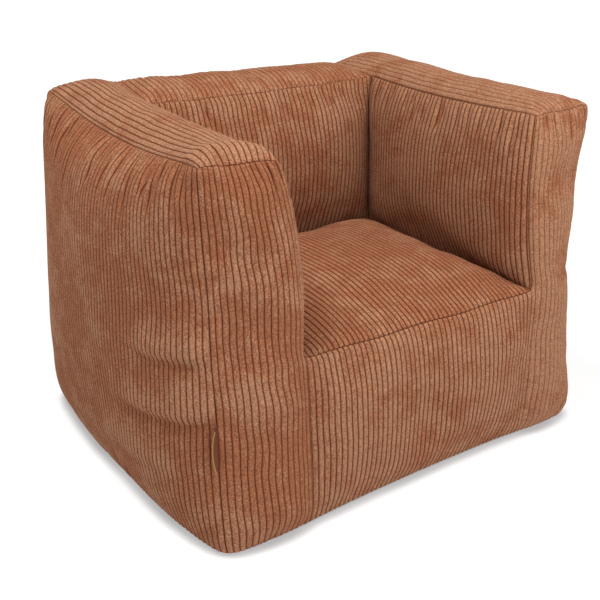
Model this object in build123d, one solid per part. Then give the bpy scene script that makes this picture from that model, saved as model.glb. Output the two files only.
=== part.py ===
"""Child's bean bag armchair: a sewn corduroy cover, inner bags of beads and a zip along the lower back.

Millimetres. +Z is up, the front faces -Y, and left and right are as seen from the front.
The origin is on the floor, under the middle of the base.
"""

import os
from math import hypot

from build123d import *

# Seam lines of the cover
body_width = 468.0  # between the outer side seams
body_depth = 386.0  # between the front and the back seams, at the floor
arm_height = 370.0  # floor to the seams round the arm tops and the back's top
arm_width = 86.0  # outer side seam to inner arm seam
back_thickness = 94.0  # back seam to the face of the backrest
seat_height = 182.0  # floor to the seam round the seat
front_lean = 16.0  # how far the front leans back over its height
back_lean = 10.0  # how far the back leans in above the zip
base_tuck = 5.0  # how far the base is drawn in from each side seam
base_corner = 14.0
seam_dip = 6.0  # how far the long top seams sink between their corners

# Crowns, which are how far a stuffed panel swells past its seams
side_crown = 30.0
side_end_crown = 7.0  # along the front and back edges of a side
arm_top_crown = 10.0
arm_front_crown = 10.0
arm_front_seat_crown = 7.0  # at the seat's seam, which pulls the arm's front in
arm_inner_crown = 13.0
arm_inner_front_crown = 8.0  # along the front edge of an arm's inner face
seat_crown = 20.0
seat_front_crown = 16.0
backrest_crown = 15.0
back_top_crown = 9.0
back_crown = 18.0

# Cloth, bags and fits
cloth = 2.5  # corduroy with its pile
base_cloth = 2.5
lining = 1.0  # dividers between the chambers
bag_wall = 0.8  # inner bag
seam_gap = 0.3  # between two panels that are sewn together
bag_fit = 0.5  # between the cover and an inner bag
bead_fit = 0.4  # between an inner bag and its beads

# Side label, folded over and caught in the left front seam
label_low = 90.0
label_height = 38.0
label_reach = 14.0
label_thickness = 1.2
label_corner = 1.5
label_root = 0.5  # from the seam to the label's fold

# Zip along the lower back
zip_height = 38.0  # floor to the middle of the zip
zip_end_margin = 30.0  # from a side seam to the end of the zip
tape_width = 14.0
tape_thickness = 0.8
tape_end_gap = 3.0  # from a tape's end to the side panel
tooth_pitch = 4.0
tooth_gap = 0.3  # between two meshed teeth
tooth_height = 4.2  # from the tape's edge to the tooth's tip
tooth_mesh = 1.1  # how far a tooth reaches past the middle
tooth_thickness = 2.4
stop_length = 3.0

# Slider and pull
slider_length = 12.0
slider_overlap = 1.4  # how far a plate covers each tape
slider_slot_clearance = 2.0  # plate to a panel's edge
slider_plate = 1.2
slider_post = 3.0  # length of the post that joins the two plates
slider_post_width = 2.4
slider_clearance = 0.4  # plate to teeth
slider_bag_clearance = 1.5  # plate to an inner bag
bridge_length = 8.0
bridge_width = 1.6
bridge_bar = 1.2
pull_length = 24.0
pull_rail = 1.5  # on each side of the pull's eye
pull_thickness = 1.2
pull_bar = 1.2  # bar of the pull that turns under the bridge
pull_corner = 1.2
pull_clearance = 0.55  # bar to the plate and to the bridge
pull_side_clearance = 0.5  # eye to the sides of the bridge
pull_eye_room = 1.5  # eye to the far corner of the bridge

# Planes and lines that follow from those sizes
outer_x = body_width / 2
inner_x = outer_x - arm_width
chamber_x = inner_x - seam_gap
front_seam_y = -body_depth / 2
back_seam_y = body_depth / 2
rest_y = back_seam_y - back_thickness
floor_seam_z = base_cloth + seam_gap
under_cloth = cloth + seam_gap  # how far a panel's edge stays behind the panel that covers it

# Zip: its middle plane lies behind the two panel edges, and its slider shows in the slot between them
tooth_length = tooth_pitch / 2 - tooth_gap
tape_edge = tooth_height - tooth_mesh  # middle of the zip to a tape's edge
slider_width = 2 * (tape_edge + slider_overlap)
zip_slot = slider_width + 2 * slider_slot_clearance
slot_low_z = zip_height - zip_slot / 2
slot_high_z = zip_height + zip_slot / 2
zip_y = back_seam_y - under_cloth - tape_thickness / 2
plate_near = tooth_thickness / 2 + slider_clearance  # middle plane to the near face of a plate
plate_far = plate_near + slider_plate
bag_back_y = zip_y - plate_far - slider_bag_clearance
bridge_base_y = zip_y + plate_far
bridge_hollow = pull_bar + 2 * pull_clearance
bridge_rise = bridge_hollow + bridge_bar
pull_axis_y = bridge_base_y + bridge_hollow / 2
pull_eye_width = bridge_width + 2 * pull_side_clearance
pull_width = pull_eye_width + 2 * pull_rail

LEFT, RIGHT = -1, 1
LOWER, UPPER = -1, 1
OUT_BACK = Vector(0, 1, 0)
OUT_FRONT = Vector(0, -1, 0)
UP = Vector(0, 0, 1)
DOWN = Vector(0, 0, -1)


def front_y(z):
    """Front seam plane at a height."""
    return front_seam_y + front_lean * z / arm_height


def back_y(z):
    """Back seam plane at a height, upright up to the zip's upper edge."""
    return back_seam_y - back_lean * max(0.0, z - slot_high_z) / (arm_height - slot_high_z)


def swell(share, crown):
    """Height of a shallow arc of that crown, at a share of its chord from 0 to 1."""
    return crown * 4 * share * (1 - share)


def side_x(z):
    """Front and back edge of a side at a height: drawn in at the floor and swollen above it."""
    share = (z - floor_seam_z) / (arm_height - floor_seam_z)
    return outer_x - base_tuck * (1 - share) + swell(share, side_end_crown)


arm_front_y = front_y(arm_height) + under_cloth
arm_back_y = back_y(arm_height) - under_cloth
arm_middle_y = (arm_front_y + arm_back_y) / 2
zip_half = side_x(zip_height) - zip_end_margin
slider_x = zip_half - stop_length - slider_length / 2 - seam_gap
post_x = slider_x + slider_length / 2 - slider_post / 2
teeth_end_x = post_x - slider_post / 2 - seam_gap
teeth_start_x = stop_length - zip_half


def arm_dip(y):
    """How far an arm's top seams sink at a place along the arm."""
    return swell((y - arm_front_y) / (arm_back_y - arm_front_y), seam_dip)


def arc_or_line(start, end, outward, crown):
    """Edge from start to end that swells along outward, or a straight one where there is no crown."""
    if crown == 0:
        return Line(start, end)
    return ThreePointArc(start, (start + end) / 2 + outward * crown, end)


def strip(start, end, outward, crown):
    """Face across a panel: an outer edge, the same edge one thickness behind it and two short ends."""
    behind = outward * -cloth
    outer = arc_or_line(start, end, outward, crown)
    inner = arc_or_line(start + behind, end + behind, outward, crown)
    return make_face([outer, Line(end, end + behind), inner, Line(start, start + behind)])


def panel(stations):
    """Crowned cloth panel through stations of start, end, outward and crown."""
    return loft([strip(*station) for station in stations])


def side_panel(side):
    """Outer side, from the base to the arm's top seam."""
    out = Vector(side, 0, 0)
    low, high = floor_seam_z, arm_height - under_cloth

    def station(y_low, y_high, crown):
        low_point = Vector(side * (outer_x - base_tuck), y_low, low)
        high_point = Vector(side * outer_x, y_high, high - arm_dip(y_high))
        return low_point, high_point, out, crown

    return panel(
        [
            station(front_y(low) + under_cloth, arm_front_y, side_end_crown),
            station(arm_middle_y, arm_middle_y, side_crown),
            station(back_y(low) - under_cloth, arm_back_y, side_end_crown),
        ]
    )


def arm_top_panel(side):
    """Top of an arm, which runs from the front panel to the back panel."""

    def station(y, crown):
        z = arm_height - arm_dip(y)
        return Vector(side * outer_x, y, z), Vector(side * inner_x, y, z), UP, crown

    return panel(
        [station(arm_front_y, 0.0), station(arm_middle_y, arm_top_crown), station(arm_back_y, 0.0)]
    )


def arm_front_panel(side):
    """Front of an arm, in one piece from the base to the top, creased where the seat's seam pulls it in."""
    above_seat = (seat_height + arm_height) / 2

    def station(z, inner_swell, crown):
        outside = Vector(side * side_x(z), front_y(z), z)
        inside = Vector(side * (inner_x - inner_swell), front_y(z), z)
        return outside, inside, OUT_FRONT, crown

    crease = station(seat_height, 0.0, arm_front_seat_crown)
    below = [station(floor_seam_z, 0.0, 0.0), station(seat_height / 2, 0.0, arm_front_crown), crease]
    above = [
        crease,
        station(above_seat, arm_inner_front_crown, arm_front_crown),
        station(arm_height, 0.0, 0.0),
    ]
    return panel(below) + panel(above)


def arm_inner_panel(side):
    """Inner face of an arm, from the seat's seam to the arm's top seam."""
    out = Vector(-side, 0, 0)
    low, high = seat_height + seam_gap, arm_height - under_cloth
    middle_y = (front_seam_y + rest_y) / 2
    rear_y = rest_y - seam_gap

    def station(y_low, y_high, crown):
        low_point = Vector(side * inner_x, y_low, low)
        high_point = Vector(side * inner_x, y_high, high - arm_dip(y_high))
        return low_point, high_point, out, crown

    return panel(
        [
            station(front_y(low) + under_cloth, arm_front_y, arm_inner_front_crown),
            station(middle_y, middle_y, arm_inner_crown),
            station(rear_y, rear_y, 0.0),
        ]
    )


def seat_panel():
    """Seat's top, straight along its front and rear seams and crowned between them."""
    front_edge = front_y(seat_height) + under_cloth
    rear_edge = rest_y - seam_gap

    def station(y, crown):
        return Vector(-chamber_x, y, seat_height), Vector(chamber_x, y, seat_height), UP, crown

    middle = (front_edge + rear_edge) / 2
    return panel([station(front_edge, 0.0), station(middle, seat_crown), station(rear_edge, 0.0)])


def seat_front_panel():
    """Front below the seat, between the two arm fronts."""

    def station(z, crown):
        return Vector(-chamber_x, front_y(z), z), Vector(chamber_x, front_y(z), z), OUT_FRONT, crown

    return panel(
        [
            station(floor_seam_z, 0.0),
            station(seat_height / 2, seat_front_crown),
            station(seat_height, 0.0),
        ]
    )


def back_front_dip(x):
    """How far the seam along the top of the backrest sinks, from an arm's seam to the middle."""
    end_dip = arm_dip(rest_y)
    return end_dip + (seam_dip - end_dip) * (1 - (x / chamber_x) ** 2)


def backrest_panel():
    """Face of the backrest, between the arms and above the seat."""

    def station(x, crown):
        high = arm_height - under_cloth - back_front_dip(x)
        return Vector(x, rest_y, seat_height), Vector(x, rest_y, high), OUT_FRONT, crown

    return panel([station(-chamber_x, 0.0), station(0.0, backrest_crown), station(chamber_x, 0.0)])


def back_top_panel():
    """Top of the backrest, between the two arm tops."""

    def station(x, crown):
        front_point = Vector(x, rest_y, arm_height - back_front_dip(x))
        return front_point, Vector(x, arm_back_y, arm_height), UP, crown

    return panel([station(-chamber_x, 0.0), station(0.0, back_top_crown), station(chamber_x, 0.0)])


def back_outer_panel():
    """Outer back across the whole width, from the zip's upper edge to the top."""

    def station(z, crown):
        return Vector(-side_x(z), back_y(z), z), Vector(side_x(z), back_y(z), z), OUT_BACK, crown

    middle = (slot_high_z + arm_height) / 2
    return panel([station(slot_high_z, 0.0), station(middle, back_crown), station(arm_height, 0.0)])


def back_lower_band():
    """Straight band between the base and the zip."""

    def station(z):
        return Vector(-side_x(z), back_seam_y, z), Vector(side_x(z), back_seam_y, z), OUT_BACK, 0.0

    return panel([station(floor_seam_z), station(slot_low_z)])


def base_panel():
    """Flat base that the chair stands on."""
    return extrude(RectangleRounded(2 * side_x(floor_seam_z), body_depth, base_corner), base_cloth)


def side_divider(side):
    """L-shaped lining between an arm and the seat and back, below and behind the arm's inner panel."""
    low, high = floor_seam_z, arm_height - under_cloth - seam_dip
    front_edge = front_y(seat_height) + under_cloth
    seat_line = seat_height - under_cloth
    corner = rest_y + seam_gap
    outline = Polyline(
        (front_edge, low),
        (bag_back_y, low),
        (bag_back_y - back_lean, high),
        (corner, high),
        (corner, seat_line),
        (front_edge, seat_line),
        close=True,
    )
    plane = Plane(origin=(side * inner_x, 0, 0), x_dir=(0, 1, 0), z_dir=(1, 0, 0))
    return extrude(plane * make_face(outline), side * lining)


def back_divider():
    """Lining between the seat and the back, below the backrest's face."""
    outline = Pos(0, rest_y + lining / 2, floor_seam_z) * Rectangle(2 * chamber_x, lining)
    return extrude(outline, seat_height - seam_gap - floor_seam_z)


def bag_section(corners, crowns, outs):
    """Face of a stuffed bag: straight or swollen edges from corner to corner."""
    edges = []
    for index, start in enumerate(corners):
        end = corners[(index + 1) % len(corners)]
        edges.append(arc_or_line(start, end, outs[index], crowns[index]))
    return make_face(edges)


def arm_bag_solid(side, inset):
    """Stuffing of an arm, held clear of the cover by inset."""
    out, into = Vector(side, 0, 0), Vector(-side, 0, 0)
    low = floor_seam_z + inset
    high = arm_height - cloth - inset
    inner = side * (inner_x + max(cloth, lining) + inset)

    def section(y_low, y_high, out_crown, top_crown):
        top = high - arm_dip(y_high)
        corners = [
            Vector(side * (outer_x - base_tuck - cloth - inset), y_low, low),
            Vector(side * (outer_x - cloth - inset), y_high, top),
            Vector(inner, y_high, top),
            Vector(inner, y_low, low),
        ]
        up = (corners[2] - corners[3]).normalized()
        return bag_section(corners, [out_crown, top_crown, 0.0, 0.0], [out, up, into, DOWN])

    front = cloth + inset
    rear_y = bag_back_y - inset
    return loft(
        [
            section(front_y(low) + front, front_y(high) + front, side_end_crown, 0.0),
            section(arm_middle_y, arm_middle_y, side_crown, arm_top_crown),
            section(rear_y, rear_y - back_lean, side_end_crown, 0.0),
        ]
    )


def back_bag_solid(inset):
    """Stuffing of the back, between the two side dividers."""
    low = floor_seam_z + inset
    high = arm_height - cloth - inset
    front = rest_y + max(cloth, lining) + inset
    rear = bag_back_y - inset
    half = chamber_x - inset

    def section(x, crown):
        corners = [
            Vector(x, rear, low),
            Vector(x, rear - back_lean, high),
            Vector(x, front, high - back_front_dip(x)),
            Vector(x, front, low),
        ]
        return bag_section(corners, [0.0, crown, 0.0, 0.0], [OUT_BACK, UP, OUT_FRONT, DOWN])

    return loft([section(-half, 0.0), section(0.0, back_top_crown), section(half, 0.0)])


def seat_bag_solid(inset):
    """Stuffing of the seat, under the crowned seat panel."""
    low = floor_seam_z + inset
    high = seat_height - cloth - inset
    half = chamber_x - inset
    front = front_y(seat_height) + cloth + inset
    rear = rest_y - seam_gap - inset

    def section(y, crown):
        corners = [Vector(half, y, low), Vector(half, y, high), Vector(-half, y, high), Vector(-half, y, low)]
        outs = [Vector(1, 0, 0), UP, Vector(-1, 0, 0), DOWN]
        return bag_section(corners, [0.0, crown, 0.0, 0.0], outs)

    return loft([section(front, 0.0), section((front + rear) / 2, seat_crown), section(rear, 0.0)])


def inner_bag(solid_of):
    """Thin closed bag, hollow inside."""
    return solid_of(bag_fit) - solid_of(bag_fit + bag_wall)


def beads(solid_of):
    """Bead filling of an inner bag."""
    return solid_of(bag_fit + bag_wall + bead_fit)


def label_line():
    """Lower and upper point of the left front seam where the label is caught."""

    def corner(z):
        return Vector(-side_x(z), front_y(z), z)

    return corner(label_low), corner(label_low + label_height)


def label_out():
    """Direction in which the label stands out of its seam, towards the side and the front."""
    low, high = label_line()
    along = (high - low).normalized()
    diagonal = Vector(-4, -3, 0).normalized()
    return (diagonal - along * diagonal.dot(along)).normalized()


def side_label():
    """Folded tab that stands out of the left front seam."""
    low, high = label_line()
    along, out = (high - low).normalized(), label_out()
    middle = (low + high) / 2 + out * (label_root + label_reach / 2)
    plane = Plane(origin=middle, x_dir=out, z_dir=out.cross(along))
    face = RectangleRounded(label_reach, (high - low).length, label_corner)
    return extrude(plane * face, label_thickness / 2, both=True)


def back_facing(x, y):
    """Plane at the zip's height that faces the back, with its own x along the zip."""
    return Plane(origin=(x, y, zip_height), x_dir=(1, 0, 0), z_dir=(0, 1, 0))


def zip_tape(row):
    """Woven tape above or below the teeth, sewn behind its panel's edge."""
    half = side_x(slot_low_z) - cloth - tape_end_gap
    place = Pos(0, zip_y, zip_height + row * (tape_edge + tape_width / 2))
    return place * Box(2 * half, tape_thickness, tape_width)


def zip_teeth(row):
    """Row of moulded teeth along a tape's edge, in mesh with the other row."""
    shift = 0.0 if row == UPPER else tooth_pitch / 2
    middle_z = zip_height + row * (tape_edge - tooth_height / 2)
    first = teeth_end_x - tooth_length / 2 - shift
    count = int((first - tooth_length / 2 - teeth_start_x) / tooth_pitch) + 1
    tooth = Box(tooth_length, tooth_thickness, tooth_height)
    return Compound(
        children=[Pos(first - index * tooth_pitch, zip_y, middle_z) * tooth for index in range(count)]
    )


def zip_end_stops():
    """Two stops past the closed slider and one block that holds the far end together."""
    stop_height = tape_edge - seam_gap
    block = Pos(stop_length / 2 - zip_half - seam_gap, zip_y, zip_height)
    stops = [block * Box(stop_length, tooth_thickness, 2 * tape_edge)]
    for row in (LOWER, UPPER):
        place = Pos(zip_half - stop_length / 2, zip_y, zip_height + row * tape_edge / 2)
        stops.append(place * Box(stop_length, tooth_thickness, stop_height))
    return Compound(children=stops)


def zip_slider():
    """Two plates joined by a post that parts the teeth, with a bridge for the pull."""
    plate_middle = (plate_near + plate_far) / 2
    outline = RectangleRounded(slider_length, slider_width, slider_plate)
    slider = Pos(post_x, zip_y, zip_height) * Box(slider_post, 2 * plate_middle, slider_post_width)
    for y in (zip_y - plate_middle, zip_y + plate_middle):
        slider += extrude(back_facing(slider_x, y) * outline, slider_plate / 2, both=True)
    arch = Pos(slider_x, bridge_base_y + bridge_rise / 2, zip_height)
    hollow = Pos(slider_x, bridge_base_y + bridge_hollow / 2, zip_height)
    bridge = arch * Box(bridge_length, bridge_rise, bridge_width)
    return slider + bridge - hollow * Box(bridge_length - 2 * bridge_bar, bridge_hollow, bridge_width)


def zip_pull():
    """Flat tab whose end bar turns under the slider's bridge."""
    bridge_reach = hypot(bridge_length / 2, bridge_rise - bridge_hollow / 2)
    eye_end = bridge_reach + pull_eye_room
    bar_edge = pull_bar / 2
    outline = RectangleRounded(pull_length, pull_width, pull_corner)
    middle_x = slider_x + bar_edge - pull_length / 2
    tab = extrude(back_facing(middle_x, pull_axis_y) * outline, pull_thickness / 2, both=True)
    eye = Pos(slider_x - (bar_edge + eye_end) / 2, pull_axis_y, zip_height)
    return tab - eye * Box(eye_end - bar_edge, pull_thickness, pull_eye_width)


def build():
    """Every separate piece of the chair, by name."""
    pieces = {
        "seat_panel": seat_panel(),
        "seat_front_panel": seat_front_panel(),
        "backrest_panel": backrest_panel(),
        "back_top_panel": back_top_panel(),
        "back_outer_panel": back_outer_panel(),
        "back_lower_band": back_lower_band(),
        "base_panel": base_panel(),
        "back_divider": back_divider(),
        "seat_inner_bag": inner_bag(seat_bag_solid),
        "seat_beads": beads(seat_bag_solid),
        "back_inner_bag": inner_bag(back_bag_solid),
        "back_beads": beads(back_bag_solid),
        "side_label": side_label(),
        "zip_upper_tape": zip_tape(UPPER),
        "zip_lower_tape": zip_tape(LOWER),
        "zip_upper_teeth": zip_teeth(UPPER),
        "zip_lower_teeth": zip_teeth(LOWER),
        "zip_end_stops": zip_end_stops(),
        "zip_slider": zip_slider(),
        "zip_pull": zip_pull(),
    }
    for word, side in (("left", LEFT), ("right", RIGHT)):

        def arm_solid(inset, side=side):
            return arm_bag_solid(side, inset)

        pieces[f"{word}_side_panel"] = side_panel(side)
        pieces[f"{word}_arm_top_panel"] = arm_top_panel(side)
        pieces[f"{word}_arm_front_panel"] = arm_front_panel(side)
        pieces[f"{word}_arm_inner_panel"] = arm_inner_panel(side)
        pieces[f"{word}_divider"] = side_divider(side)
        pieces[f"{word}_arm_inner_bag"] = inner_bag(arm_solid)
        pieces[f"{word}_arm_beads"] = beads(arm_solid)
    return pieces


def main():
    os.makedirs("parts", exist_ok=True)
    for name, shape in build().items():
        export_step(shape, f"parts/{name}.step")
    low, high = label_line()
    print("zip pull axis", (slider_x, pull_axis_y, zip_height))
    print("zip slider travel", slider_x - slider_length / 2 - teeth_start_x)
    print("label hinge", tuple((low + high) / 2), tuple((high - low).normalized()), tuple(label_out()))


main()
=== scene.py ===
"""Looks of a child's bean bag armchair: a stuffed corduroy cover, its zip, its label and its filling.

Everything is in metres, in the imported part's frame: +Z up, the front towards -Y, left and right as seen
from the front. The cover is laid out as one grid of sewn panels, puffed up by a short cloth simulation,
and then each panel is woven at full detail with its wales, puckers and folds.
"""

import math
from functools import cache

import bpy
import numpy as np
from bpy.props import FloatProperty, FloatVectorProperty, IntProperty, PointerProperty
from mathutils import Matrix, Vector
from mathutils.bvhtree import BVHTree


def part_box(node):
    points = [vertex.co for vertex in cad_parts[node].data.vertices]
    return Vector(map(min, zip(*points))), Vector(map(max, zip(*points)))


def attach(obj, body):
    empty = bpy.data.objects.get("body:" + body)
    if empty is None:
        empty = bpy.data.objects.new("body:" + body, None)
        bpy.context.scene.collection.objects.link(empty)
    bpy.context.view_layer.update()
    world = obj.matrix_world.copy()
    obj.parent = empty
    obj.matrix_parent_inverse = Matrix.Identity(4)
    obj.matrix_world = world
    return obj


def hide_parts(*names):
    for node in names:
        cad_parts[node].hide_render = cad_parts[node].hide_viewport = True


bl_info = {
    "name": "Bean bag armchair",
    "version": (1, 0, 0),
    "blender": (4, 5, 0),
    "location": "View3D > Sidebar > Chair",
    "description": "Builds a corduroy bean bag armchair over its packed parts",
    "category": "Object",
}

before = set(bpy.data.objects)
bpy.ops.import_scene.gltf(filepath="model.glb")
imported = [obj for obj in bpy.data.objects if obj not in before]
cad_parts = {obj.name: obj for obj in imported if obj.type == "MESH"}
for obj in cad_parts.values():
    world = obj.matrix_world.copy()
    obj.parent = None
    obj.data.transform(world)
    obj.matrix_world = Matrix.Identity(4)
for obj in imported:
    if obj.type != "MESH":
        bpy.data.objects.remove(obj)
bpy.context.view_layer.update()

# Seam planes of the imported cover
BASE_LOW, BASE_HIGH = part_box("base_panel")
ARM_TOP_LOW, ARM_TOP_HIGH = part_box("right_arm_top_panel")
OUTER_X, INNER_X = ARM_TOP_HIGH.x, ARM_TOP_LOW.x
BASE_X = BASE_HIGH.x
FRONT_Y, BACK_Y = BASE_LOW.y, BASE_HIGH.y
TOP_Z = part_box("right_arm_front_panel")[1].z
SEAT_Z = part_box("seat_front_panel")[1].z
REST_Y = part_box("back_top_panel")[0].y
SLOT_LOW_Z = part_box("back_lower_band")[1].z
SLOT_HIGH_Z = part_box("back_outer_panel")[0].z

LEFT, RIGHT = -1, 1
SIDES = {"left": LEFT, "right": RIGHT}


class CoverSettings(bpy.types.PropertyGroup):
    """Sizes of the sewn cover."""

    front_lean: FloatProperty(
        name="Front lean", description="How far the front leans back over its height",
        default=0.016, unit="LENGTH",
    )
    back_lean: FloatProperty(
        name="Back lean", description="How far the back leans in over its height",
        default=0.010, unit="LENGTH",
    )
    ear_inset: FloatProperty(
        name="Ear inset", description="How far a corner of the arm top lies in from the sharp corner",
        default=0.001, unit="LENGTH",
    )
    edge_inset: FloatProperty(
        name="Edge inset", description="How far a seam lies in from the sharp edge that it rounds",
        default=0.005, unit="LENGTH",
    )
    floor_tuck: FloatProperty(
        name="Floor tuck", description="How far the cover is drawn in under itself at the floor",
        default=0.005, unit="LENGTH",
    )
    floor_roll: FloatProperty(
        name="Floor roll", description="Height over which the cover rolls in towards the floor",
        default=0.020, unit="LENGTH",
    )
    seam_dip: FloatProperty(
        name="Seam dip", description="How far a long top seam sinks between its corners",
        default=0.008, unit="LENGTH",
    )
    side_belly: FloatProperty(
        name="Side belly", description="How far the filling's weight spreads the sides",
        default=0.003, unit="LENGTH",
    )
    front_belly: FloatProperty(
        name="Front belly", description="How far the filling's weight spreads the front",
        default=0.003, unit="LENGTH",
    )
    back_belly: FloatProperty(
        name="Back belly", description="How far the filling's weight spreads the back",
        default=0.010, unit="LENGTH",
    )
    cell: FloatProperty(
        name="Cell", description="Grid size of the cloth simulation", default=0.007, unit="LENGTH",
    )
    pressure: FloatProperty(
        name="Pressure", description="Outward push of the filling in the simulation", default=2.0,
    )
    fullness: FloatProperty(
        name="Fullness", description="Share by which panels are cut larger than the seams that gather them",
        default=0.02, subtype="FACTOR",
    )
    most_move: FloatProperty(
        name="Most move", description="Furthest that the simulation may carry a point",
        default=0.016, unit="LENGTH",
    )
    calming: IntProperty(
        name="Calming", description="Smoothing steps that leave only broad folds after the simulation",
        default=4,
    )
    frames: IntProperty(name="Frames", description="Length of the simulation", default=22)
    softening: IntProperty(
        name="Softening", description="Smoothing steps that round the sewn edges", default=6,
    )
    seed: IntProperty(name="Seed", description="Seed of the puckers along the seams", default=11)


class CorduroySettings(bpy.types.PropertyGroup):
    """Weave and colours of the corduroy."""

    wale_pitch: FloatProperty(
        name="Wale pitch", description="Distance from one wale to the next", default=0.0063, unit="LENGTH",
    )
    wale_height: FloatProperty(
        name="Wale height", description="Height of the pile over the ground between wales",
        default=0.0010, unit="LENGTH",
    )
    cloth: FloatProperty(
        name="Cloth", description="Thickness of the ground cloth", default=0.0016, unit="LENGTH",
    )
    row: FloatProperty(
        name="Row", description="Grid size along a wale", default=0.0034, unit="LENGTH",
    )
    dents: FloatProperty(
        name="Dents", description="Height of the soft dents of the stuffed cloth",
        default=0.0013, unit="LENGTH",
    )
    wander: FloatProperty(
        name="Wander", description="How far a wale wanders sideways", default=0.0013, unit="LENGTH",
    )
    # The random patches move between the light and dark pile, and so do the painted shade of creases, the
    # painted light of rolls and the painted light and shade of whole panels
    light: FloatVectorProperty(
        name="Light pile", description="Pile that leans towards the light", subtype="COLOR",
        default=(0.339, 0.162, 0.090),
    )
    dark: FloatVectorProperty(
        name="Dark pile", description="Pile that is brushed the other way", subtype="COLOR",
        default=(0.279, 0.105, 0.051),
    )
    # Groove: the ground between two wales, darkened as painted shade of the recess
    groove: FloatVectorProperty(
        name="Groove", description="Ground between two wales", subtype="COLOR",
        default=(0.115, 0.027, 0.0095),
    )


class StageSettings(bpy.types.PropertyGroup):
    """Camera, light and floor."""

    camera_place: FloatVectorProperty(
        name="Camera", description="Where the camera stands", subtype="TRANSLATION",
        default=(-0.622, -0.898, 0.594),
    )
    camera_yaw: FloatProperty(
        name="Yaw", description="Turn of the view from straight ahead to the right", subtype="ANGLE",
        default=math.radians(33.98),
    )
    camera_pitch: FloatProperty(
        name="Pitch", description="Tilt of the view below the horizon", subtype="ANGLE",
        default=math.radians(22.75),
    )
    camera_roll: FloatProperty(
        name="Roll", description="Turn of the view about its own line", subtype="ANGLE",
        default=math.radians(0.13),
    )
    lens: FloatProperty(
        name="Lens", description="Focal length on a 36 mm frame, in millimetres", default=60.54,
    )
    floor: FloatVectorProperty(
        name="Floor", description="Colour of the floor", subtype="COLOR", default=(0.3, 0.3, 0.3),
    )


# Grid of the cover


def rows(cell, *stops):
    """Evenly spread positions that hit every stop, and the index of each stop."""
    places, marks = [stops[0]], [0]
    for low, high in zip(stops, stops[1:]):
        count = max(1, round((high - low) / cell))
        places.extend(np.linspace(low, high, count + 1)[1:])
        marks.append(len(places) - 1)
    return np.array(places), marks


def shares(places):
    """Positions as shares from 0 to 1."""
    return (places - places[0]) / (places[-1] - places[0])


def arch(t):
    """Arc that is 0 at both ends and 1 in the middle."""
    return 4 * t * (1 - t)


# No shift at all
NONE = (0, 0, 0)


def seam(start, end, t, bow=NONE, inset=NONE, tuck=NONE, tuck_share=1.0, wave=NONE, turns=3.0):
    """Points along a seam: bowed, inset between its corners, tucked in near its start, and wavy."""
    vectors = (np.asarray(v, float) for v in (start, end, bow, inset, tuck, wave))
    start, end, bow, inset, tuck, wave = vectors
    t = np.asarray(t)[:, None]
    rolled = np.clip(1 - t / tuck_share, 0, None) ** 2
    straight = (start + tuck) * (1 - t) + end * t
    wavy = wave * np.sin(2 * math.pi * turns * t) * np.sqrt(arch(t))
    return straight + bow * arch(t) + inset * (1 - np.abs(2 * t - 1) ** 4) - tuck * rolled + wavy


def coons(low, high, first, last, u, v):
    """Surface through four seams: low and high run along u, first and last along v."""
    u, v = u[:, None, None], v[None, :, None]
    ruled_v = (1 - v) * low[:, None] + v * high[:, None]
    ruled_u = (1 - u) * first[None] + u * last[None]
    corners = (1 - u) * ((1 - v) * low[0] + v * high[0]) + u * ((1 - v) * low[-1] + v * high[-1])
    return ruled_v + ruled_u - corners


def normals(points, flip):
    """Outward unit normals of a grid of points."""
    across = np.gradient(points, axis=0)
    along = np.gradient(points, axis=1)
    found = np.cross(across, along) * flip
    return found / np.maximum(np.linalg.norm(found, axis=2, keepdims=True), 1e-12)


def lengths(points):
    """Mean length of a grid across and along its wales."""
    across = np.linalg.norm(np.diff(points, axis=0), axis=2).sum(0).mean()
    along = np.linalg.norm(np.diff(points, axis=1), axis=2).sum(1).mean()
    return across, along


def edge_rise(distance, reach, power=2):
    """Rise of a stuffed panel from 0 at a seam to 1 at its reach, steeper for a higher power."""
    near = np.clip(distance / reach, 0, 1)
    return 1 - (1 - near) ** power


def bell(distance, width):
    """Soft peak that is 1 at no distance."""
    return np.exp(-((distance / width) ** 2))


def from_edges(points):
    """Shares across and along a grid, and distances from its first, last, low and high edges."""
    u = np.linspace(0, 1, points.shape[0])[:, None]
    v = np.linspace(0, 1, points.shape[1])[None, :]
    across, along = lengths(points)
    return u, v, (u * across, (1 - u) * across, v * along, (1 - v) * along)


def puff(points, flip, crown, rise, reach=(0.02, 0.02, 0.02, 0.02), power=(2, 2, 2, 2), fullness=0.7):
    """Swells a panel past its seams by a crown over its middle and a quick rise beside its edges."""
    u, v, edges = from_edges(points)
    rises = [edge_rise(*row) for row in zip(edges, reach, power)]
    risen = rise * np.prod(np.broadcast_arrays(*rises), axis=0)
    crowned = crown * (arch(u) * arch(v)) ** fullness
    return points + normals(points, flip) * (risen + crowned)[..., None]


# Crown of each kind of panel, rise beside its seams, and reach and steepness of that rise at its
# first, last, low and high edges
SWELLS = {
    "arm_top": (0.010, 0.009, (0.04, 0.04, 0.020, 0.04)),
    "arm_front": (0.003, 0.010, (0.05, 0.03, 0.03, 0.06), (2, 2, 2, 2.5)),
    "arm_inner": (0.006, 0.007, (0.03, 0.018, 0.016, 0.04)),
    "seat": (0.014, 0.009, (0.016, 0.016, 0.07, 0.02)),
    "seat_front": (0.003, 0.003, (0.05, 0.05, 0.03, 0.06)),
    "backrest": (0.010, 0.007, (0.018, 0.018, 0.016, 0.04)),
    "back_top": (0.006, 0.006, (0.02, 0.02, 0.03, 0.03)),
    "back_outer": (0.009, 0.004),
}
# Reach and steepness of a side's rise at its front, back, floor and top seams
SIDE_RISES = ((0.05, 3), (0.05, 3), (0.06, 2.5), (0.09, 4))
# Steepness of a side's arc from front to back, and reach of its shoulder's fall towards either end
SIDE_ARC, SHOULDER_FALL = 2.3, 0.04


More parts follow.
